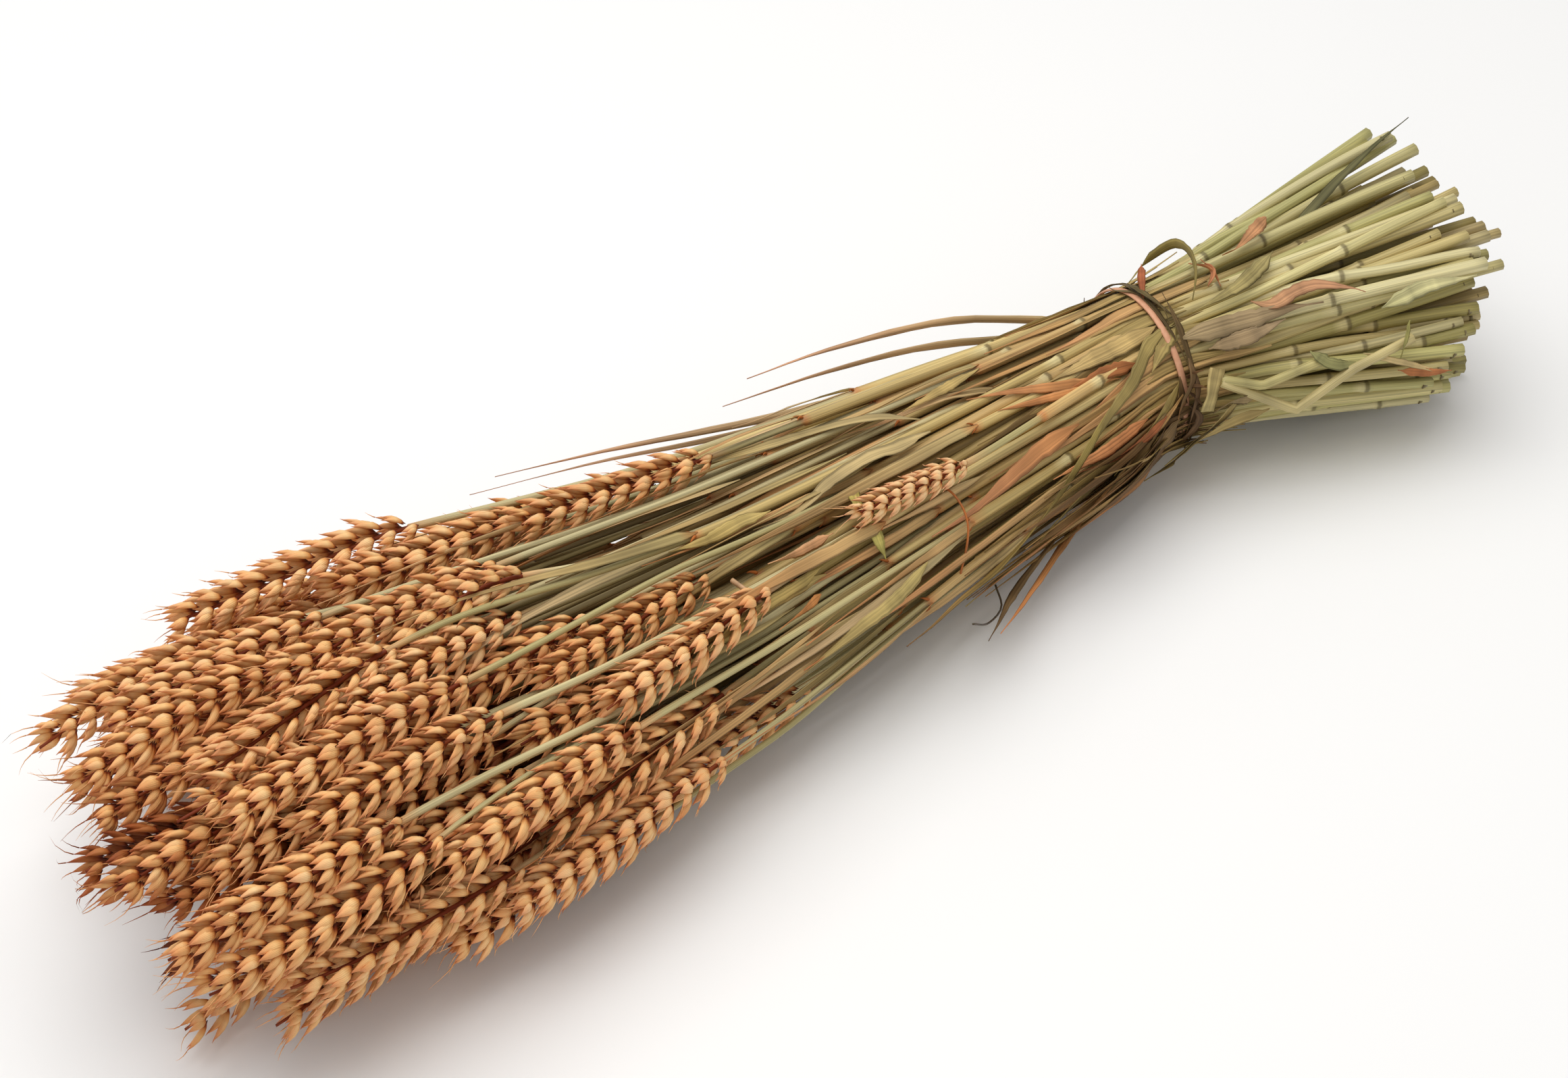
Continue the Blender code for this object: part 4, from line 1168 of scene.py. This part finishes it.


# Leaves that can be told apart, at places read from the photograph: width in mm, twist, colours.
# The first group lies behind and at the tie, the second on the stems, and the last hangs off the near side.
LEAVES = (
    (6.0, (0, 40), "B48A64", "BE8E6C", ((1852, 446, 1.05), (1886, 450, 1.07), (1912, 435, 1.10), (1947, 422, 1.12),
                                        (2000, 426, 1.08), (2022, 432, 1.02))),
    (6.0, (0, 20), "BDBB88", "C8C494", ((2046, 456, 1.0), (2080, 439, 1.03), (2118, 422, 1.05), (2187, 407, 1.02))),
    (8.0, (10, -20), "9C8A66", "A08C6C", ((1752, 502, 1.04), (1804, 485, 1.07), (1860, 470, 1.08),
                                          (1904, 457, 1.05), (1960, 447, 1.0))),
    (6.5, (0, 30), "968260", "A08C6C", ((1790, 517, 1.02), (1850, 498, 1.07), (1904, 472, 1.03))),
    (5.5, (60, -60), "B98A62", "A97A50", ((1875, 322, 1.12), (1849, 351, 1.12), (1831, 368, 1.08), (1810, 378, 1.0))),
    (4.0, (0, 120), "BE8458", "B0744A", ((1760, 390, 1.04), (1793, 399, 1.14), (1808, 424, 1.06))),
    (3.6, (40, 140), "B97E58", "A86C44", ((1789, 424, 1.05), (1797, 403, 1.15), (1778, 384, 1.06))),
    (6.0, (0, 35), "968C5C", "A09460", ((1885, 372, 1.02), (1852, 409, 1.07), (1817, 435, 1.08), (1766, 462, 1.0))),
    (4.2, (0, 160), "8C8048", "7C7040", ((1672, 418, 1.04), (1700, 385, 1.1), (1736, 361, 1.2), (1760, 372, 1.24),
                                         (1770, 403, 1.2), (1766, 444, 1.06))),
    (4.0, (0, 60), "625634", "6A5C38", ((1670, 420, 1.1), (1687, 430, 1.14), (1722, 457, 1.14), (1733, 485, 1.04))),
    (3.2, (30, -40), "A8623E", "8C5230", ((1690, 391, 1.22), (1691, 420, 1.16), (1694, 450, 1.05))),
    (7.5, (0, -15), "B8A068", "B39C68", ((1716, 480, 1.03), (1655, 515, 1.05), (1600, 543, 1.03), (1545, 570, 1.0))),
    (5.5, (0, 20), "9A6238", "A86C40", ((1690, 536, 1.03), (1639, 552, 1.06), (1600, 571, 1.05), (1556, 590, 1.0))),
    (6.0, (0, 30), "A09058", "92824E", ((1744, 474, 1.05), (1726, 488, 1.05), (1700, 514, 1.07), (1676, 566, 1.07),
                                        (1643, 613, 1.08), (1598, 692, 1.06))),
    (6.0, (0, -30), "92824E", "A08E58", ((1742, 484, 1.04), (1722, 515, 1.06), (1706, 552, 1.04))),
    (4.4, (0, 70), "6B5436", "7C6440", ((1760, 530, 1.06), (1766, 562, 1.14), (1750, 600, 1.12), (1740, 655, 1.06))),
    # These six dark shreds are partly real dark brown shreds and partly painted shade: they fill the shadow below the
    # tie.
    (2.4, (20, 90), "4A3420", "6C4E2C", ((1758, 572, 1.06), (1772, 571, 1.12), (1788, 574, 1.14))),
    (2.2, (10, -60), "553A22", "7C5A34", ((1756, 560, 1.06), (1768, 552, 1.12), (1782, 548, 1.12))),
    (2.6, (30, 80), "4A3420", "5C4428", ((1760, 580, 1.06), (1774, 592, 1.12), (1784, 604, 1.1))),
    (3.0, (0, 60), "54402A", "6A5032", ((1770, 548, 1.06), (1774, 580, 1.1), (1766, 612, 1.1), (1756, 645, 1.05))),
    (2.0, (0, 40), "6A4C2C", "8A6438", ((1757, 590, 1.07), (1748, 606, 1.12), (1745, 622, 1.13))),
    (3.2, (0, -50), "54402A", "6A5032", ((1762, 602, 1.06), (1776, 618, 1.1), (1764, 640, 1.08), (1740, 660, 1.04))),
    (5.0, (0, 40), "92804A", "A08E54", ((1746, 566, 1.04), (1726, 608, 1.08), (1687, 657, 1.1), (1650, 705, 1.06))),
    (8.0, (0, 30), "6E5836", "7C6440", ((1748, 620, 1.12), (1722, 655, 1.12), (1690, 700, 1.06))),
    (8.0, (0, 20), "A08E5A", "94824E", ((1880, 605, 1.0), (1834, 619, 1.06), (1774, 652, 1.12), (1735, 685, 1.14),
                                        (1695, 712, 1.06))),
    (6.5, (0, 30), "A89662", "9C8A54", ((1838, 588, 1.0), (1800, 628, 1.08), (1766, 655, 1.08), (1725, 690, 1.04))),
    (5.0, (0, 60), "8C7C58", "80704C", ((1858, 590, 1.02), (1826, 594, 1.07), (1796, 612, 1.04))),
    (4.5, (0, 30), "9A5C36", "A86A42", ((1728, 616, 1.12), (1695, 650, 1.12), (1650, 680, 1.08), (1596, 700, 1.03))),
    (3.6, (0, 60), "A8A460", "98965A", ((2088, 474, 1.02), (2081, 506, 1.07), (2073, 534, 1.02))),
    (5.0, (0, 90), "8C8C5C", "7C7C50", ((1940, 520, 1.0), (1977, 540, 1.06), (2026, 535, 1.0))),
    (2.6, (0, 50), "C0B080", "B8A070", ((2019, 523, 1.0), (2092, 540, 1.04), (2148, 554, 1.02))),
    (3.6, (0, 30), "B07448", "A86C44", ((2070, 548, 1.0), (2114, 551, 1.04), (2150, 548, 1.02))),
    (4.2, (0, 25), "C08A54", "C4895A", ((1660, 560, 1.02), (1572, 572, 1.04), (1485, 582, 1.04), (1431, 592, 1.02))),
    (3.6, (0, 30), "B98450", "C48A5A", ((1635, 568, 1.02), (1557, 589, 1.04), (1477, 608, 1.02))),
    (4.0, (0, 40), "B9A468", "B49A60", ((1450, 545, 1.02), (1388, 582, 1.05), (1336, 610, 1.02))),
    (7.0, (0, -50), "B4A272", "B09C6E", ((1378, 639, 1.04), (1334, 662, 1.08), (1291, 676, 1.08), (1228, 715, 1.06),
                                         (1179, 759, 1.05), (1115, 785, 1.02))),
    (6.0, (0, 30), "B4A272", "A89662", ((1362, 621, 1.04), (1291, 619, 1.05), (1204, 640, 1.04), (1097, 672, 1.03),
                                        (1000, 697, 1.02))),
    (5.5, (0, -20), "ACA25C", "A09A54", ((1282, 756, 1.06), (1300, 800, 1.1), (1312, 828, 1.06))),
    (7.0, (0, 30), "B98250", "CC9268", ((1598, 628, 1.04), (1540, 668, 1.08), (1485, 716, 1.09), (1436, 759, 1.06),
                                        (1380, 795, 1.02))),
    (5.0, (0, -30), "B4784A", "C48A5A", ((1700, 620, 1.06), (1635, 669, 1.09), (1560, 710, 1.04))),
    (5.0, (0, -60), "B4A468", "B09A62", ((1374, 832, 1.04), (1334, 880, 1.08), (1276, 928, 1.08), (1190, 998, 1.04))),
    (5.0, (0, 40), "B4A060", "B09A60", ((1218, 838, 1.04), (1185, 864, 1.07), (1128, 899, 1.07), (1060, 945, 1.04))),
    (5.0, (0, 40), "A89858", "B09A60", ((1141, 899, 1.04), (1092, 928, 1.06), (1048, 962, 1.05), (990, 1002, 1.03))),
    (5.5, (0, 30), "B09C60", "B49A60", ((1223, 850, 1.03), (1160, 880, 1.05), (1087, 926, 1.04), (1010, 972, 1.02))),
    (4.0, (0, 60), "C0844A", "C98C56", ((1216, 880, 1.03), (1189, 904, 1.05), (1154, 933, 1.02))),
    (4.0, (0, 60), "D0A074", "D8AC80", ((1234, 789, 1.04), (1185, 816, 1.06), (1137, 835, 1.04))),
    (5.0, (0, 30), "BCA868", "B49E60", ((1141, 756, 1.04), (1097, 773, 1.05), (1044, 802, 1.04), (990, 818, 1.02))),
    (4.6, (0, 90), "9A8A4C", "7A5C38", ((1647, 600, 1.08), (1603, 679, 1.08), (1546, 763, 1.09), (1480, 838, 1.14),
                                        (1423, 886, 1.3), (1379, 928, 1.5), (1343, 957, 1.6))),
    (5.2, (0, 60), "A88450", "C98450", ((1752, 584, 1.1), (1698, 657, 1.1), (1645, 720, 1.12), (1596, 773, 1.16),
                                        (1548, 844, 1.3), (1511, 899, 1.5), (1482, 938, 1.6))),
    (3.6, (0, 90), "7A6442", "5E482C", ((1600, 760, 1.1), (1560, 800, 1.12), (1504, 873, 1.3), (1480, 919, 1.5),
                                        (1464, 949, 1.6))),
    (4.4, (0, 50), "968650", "9A8A52", ((1650, 690, 1.06), (1582, 754, 1.1), (1509, 831, 1.12), (1430, 898, 1.08))),
    (5.0, (0, -50), "7A6440", "8A7448", ((1727, 612, 1.12), (1679, 685, 1.12), (1600, 774, 1.08))),
)
pieces = [blade_arrays(seen_at(places), width, root, tip, twist, crease=0.16, shape="torn", seed=400 + i, count=26)
          for i, (width, twist, root, tip, places) in enumerate(LEAVES)]

# Two short straps of leaf whose ends are square: one across the stems behind the tie, one under the lone ear.
SQUARE_LEAVES = (
    (7.0, (0, 5), "B4A26C", "B8AA74", ((1802, 545, 1.09), (1796, 578, 1.09), (1787, 609, 1.09))),
    (5.0, (0, 10), "A89A50", "B0A460", ((1262, 726, 1.04), (1268, 742, 1.06), (1276, 760, 1.04))),
)
pieces += [blade_arrays(seen_at(places), width, root, tip, twist, crease=0.1, shape="strap", seed=460 + i, count=10)
           for i, (width, twist, root, tip, places) in enumerate(SQUARE_LEAVES)]
put_straw("telling_leaves", pieces, dry_leaf)

# Bent and broken stems and two thin tendrils, at places read the same way: radius in mm, colour.
BENT_STEMS = (
    (2.0, "C8B67E", ((1808, 566, 1.05), (1918, 607, 1.08), (2002, 547, 1.08), (2092, 500, 0.98))),
    (1.9, "BCAE72", ((1808, 562, 1.04), (1869, 571, 1.06), (1965, 531, 0.99))),
    (1.0, "C09870", ((1084, 859, 1.02), (1109, 877, 1.1), (1133, 897, 1.08))),
    (0.45, "B5682E", ((1392, 716, 1.04), (1415, 735, 1.12), (1431, 765, 1.14), (1433, 800, 1.12), (1420, 860, 1.03))),
    (0.4, "4A3A26", ((1474, 866, 1.1), (1483, 899, 1.3), (1463, 923, 1.4), (1441, 924, 1.5))),
)


def bent_stem(number, radius_here, colour, places):
    corners = seen_at(places)
    if radius_here > 1.5:
        steps = np.concatenate([[0], np.cumsum(np.linalg.norm(np.diff(corners, axis=0), axis=1))])
        even = np.linspace(0, steps[-1], 24)
        middle = np.stack([np.interp(even, steps, corners[:, i]) for i in range(3)], -1)
    else:
        middle = curve(corners, 24)
    rings = tube(middle, np.full(24, radius_here))
    quads, tris = tube_faces(24, STEM_SIDES)
    shade = 1 - 0.3 * np.exp(-(((np.arange(24) % 11 - 5) / 1.2) ** 2)) + 0.06 * np.sin(np.arange(24) * 1.7)
    colours = np.repeat(shade[:, None] * tint(colour), STEM_SIDES, axis=0)
    fibre = np.zeros((24, STEM_SIDES, 3))
    fibre[..., 0] = np.cos(RING)
    fibre[..., 1] = np.sin(RING)
    fibre[..., 2] = (np.arange(24) / 250 + number)[:, None]
    return rings.reshape(-1, 3), quads, tris, colours, fibre.reshape(-1, 3)


put_straw("bent_stems", [bent_stem(i, *row) for i, row in enumerate(BENT_STEMS)], wheat_straw)


# Tie. One flat pinkish rubber band round the neck, with dry leaf strands wound beside it that darkened
# where they were wet.

BAND_WIDTH = 3.0
BAND_THICKNESS = 1.2
BAND_REACH = 33.1


def band_arrays(reach, wide, thick, sway, turns_from, turns_to, count, closed):
    """An oval section swept round the neck: x = tie + sway(t), distance from the axis = reach(t)."""
    t = np.linspace(turns_from, turns_to, count, endpoint=not closed)
    section = np.linspace(0, 2 * np.pi, 8, endpoint=False)
    _, _, mid_y, mid_z = outline(TIE_X)
    out = reach(t)[:, None] + thick / 2 * np.sin(section)[None, :]
    x = TIE_X + sway(t)[:, None] + wide / 2 * np.cos(section)[None, :]
    rings = np.stack([x, mid_y + out * np.cos(t)[:, None], mid_z + out * np.sin(t)[:, None]], -1)
    return t, rings


t, rings = band_arrays(lambda t: BAND_REACH + 0 * t, BAND_WIDTH, BAND_THICKNESS,
                       lambda t: 0.5 * np.sin(2 * t), 0, 2 * np.pi, 96, True)
i = np.arange(96)[:, None]
j = np.arange(8)[None, :]
quads = np.stack([i * 8 + j, i * 8 + (j + 1) % 8, (i + 1) % 96 * 8 + (j + 1) % 8, (i + 1) % 96 * 8 + j], -1)
# Natural rubber, unfilled: a dull skin, pink tan, slightly mottled by bloom in spots of about 2 mm.
rubber, tree, shader = new_material("natural_rubber")
where = add_node(tree, "ShaderNodeTexCoord")
bloom = add_node(tree, "ShaderNodeTexNoise", [(where.outputs["Object"], "Vector")], Scale=500.0, Detail=2.0)
mottle = add_node(tree, "ShaderNodeValToRGB", [(bloom.outputs["Fac"], "Fac")])
mottle.color_ramp.elements[0].color = linear("C48660")
mottle.color_ramp.elements[1].color = linear("E2AC88")
tree.links.new(mottle.outputs["Color"], shader.inputs["Base Color"])
shader.inputs["Roughness"].default_value = 0.55
tie = put_mesh("tie_band", rings.reshape(-1, 3), quads.reshape(-1, 4), np.zeros((0, 3), int), {}, rubber)
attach(tie, "root")
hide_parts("tie")

# Strands of old leaf were caught by the tie. Each runs part of the way round, from one place round the neck
# to another, sways along the bunch and lifts off at its ends: mm from the axis, degrees, mm, width, colours.
STRANDS = (
    (33.6, (20, 150), (4.0, 1.5), 3.4, "6E6040", "584628"),
    (34.2, (95, 215), (6.5, 3.0), 3.0, "5E4C2E", "6A5634"),
    (33.4, (150, 262), (-3.0, 5.5), 4.0, "6A5434", "7C6640"),
    (34.0, (262, 385), (4.5, -2.5), 3.6, "7A6A42", "6A5836"),
    (34.6, (168, 232), (1.0, 9.0), 3.6, "4E3A22", "5E4A2C"),
    (33.2, (60, 118), (-2.5, 8.0), 2.6, "746644", "5A4A2E"),
)
pieces = []
for n, (reach_out, clocks, drift, wide, root, tip) in enumerate(STRANDS):
    s = np.linspace(0, 1, 11)
    angle = np.radians(clocks[0] + (clocks[1] - clocks[0]) * s)
    _, _, mid_y, mid_z = outline(TIE_X)
    ends = 2.6 * abs(2 * s - 1) ** 6
    away = reach_out + 0.5 * np.sin(s * 9 + n) + ends
    x = TIE_X + drift[0] + (drift[1] - drift[0]) * s + 0.8 * np.sin(s * 7 + 2 * n)
    points = np.stack([x, mid_y + away * np.cos(angle), mid_z + away * np.sin(angle)], -1)
    pieces.append(blade_arrays(points, wide, root, tip, (-10, 40), crease=0.3, shape="torn", seed=300 + n, count=34))
put_straw("tie_strands", pieces, dry_leaf)
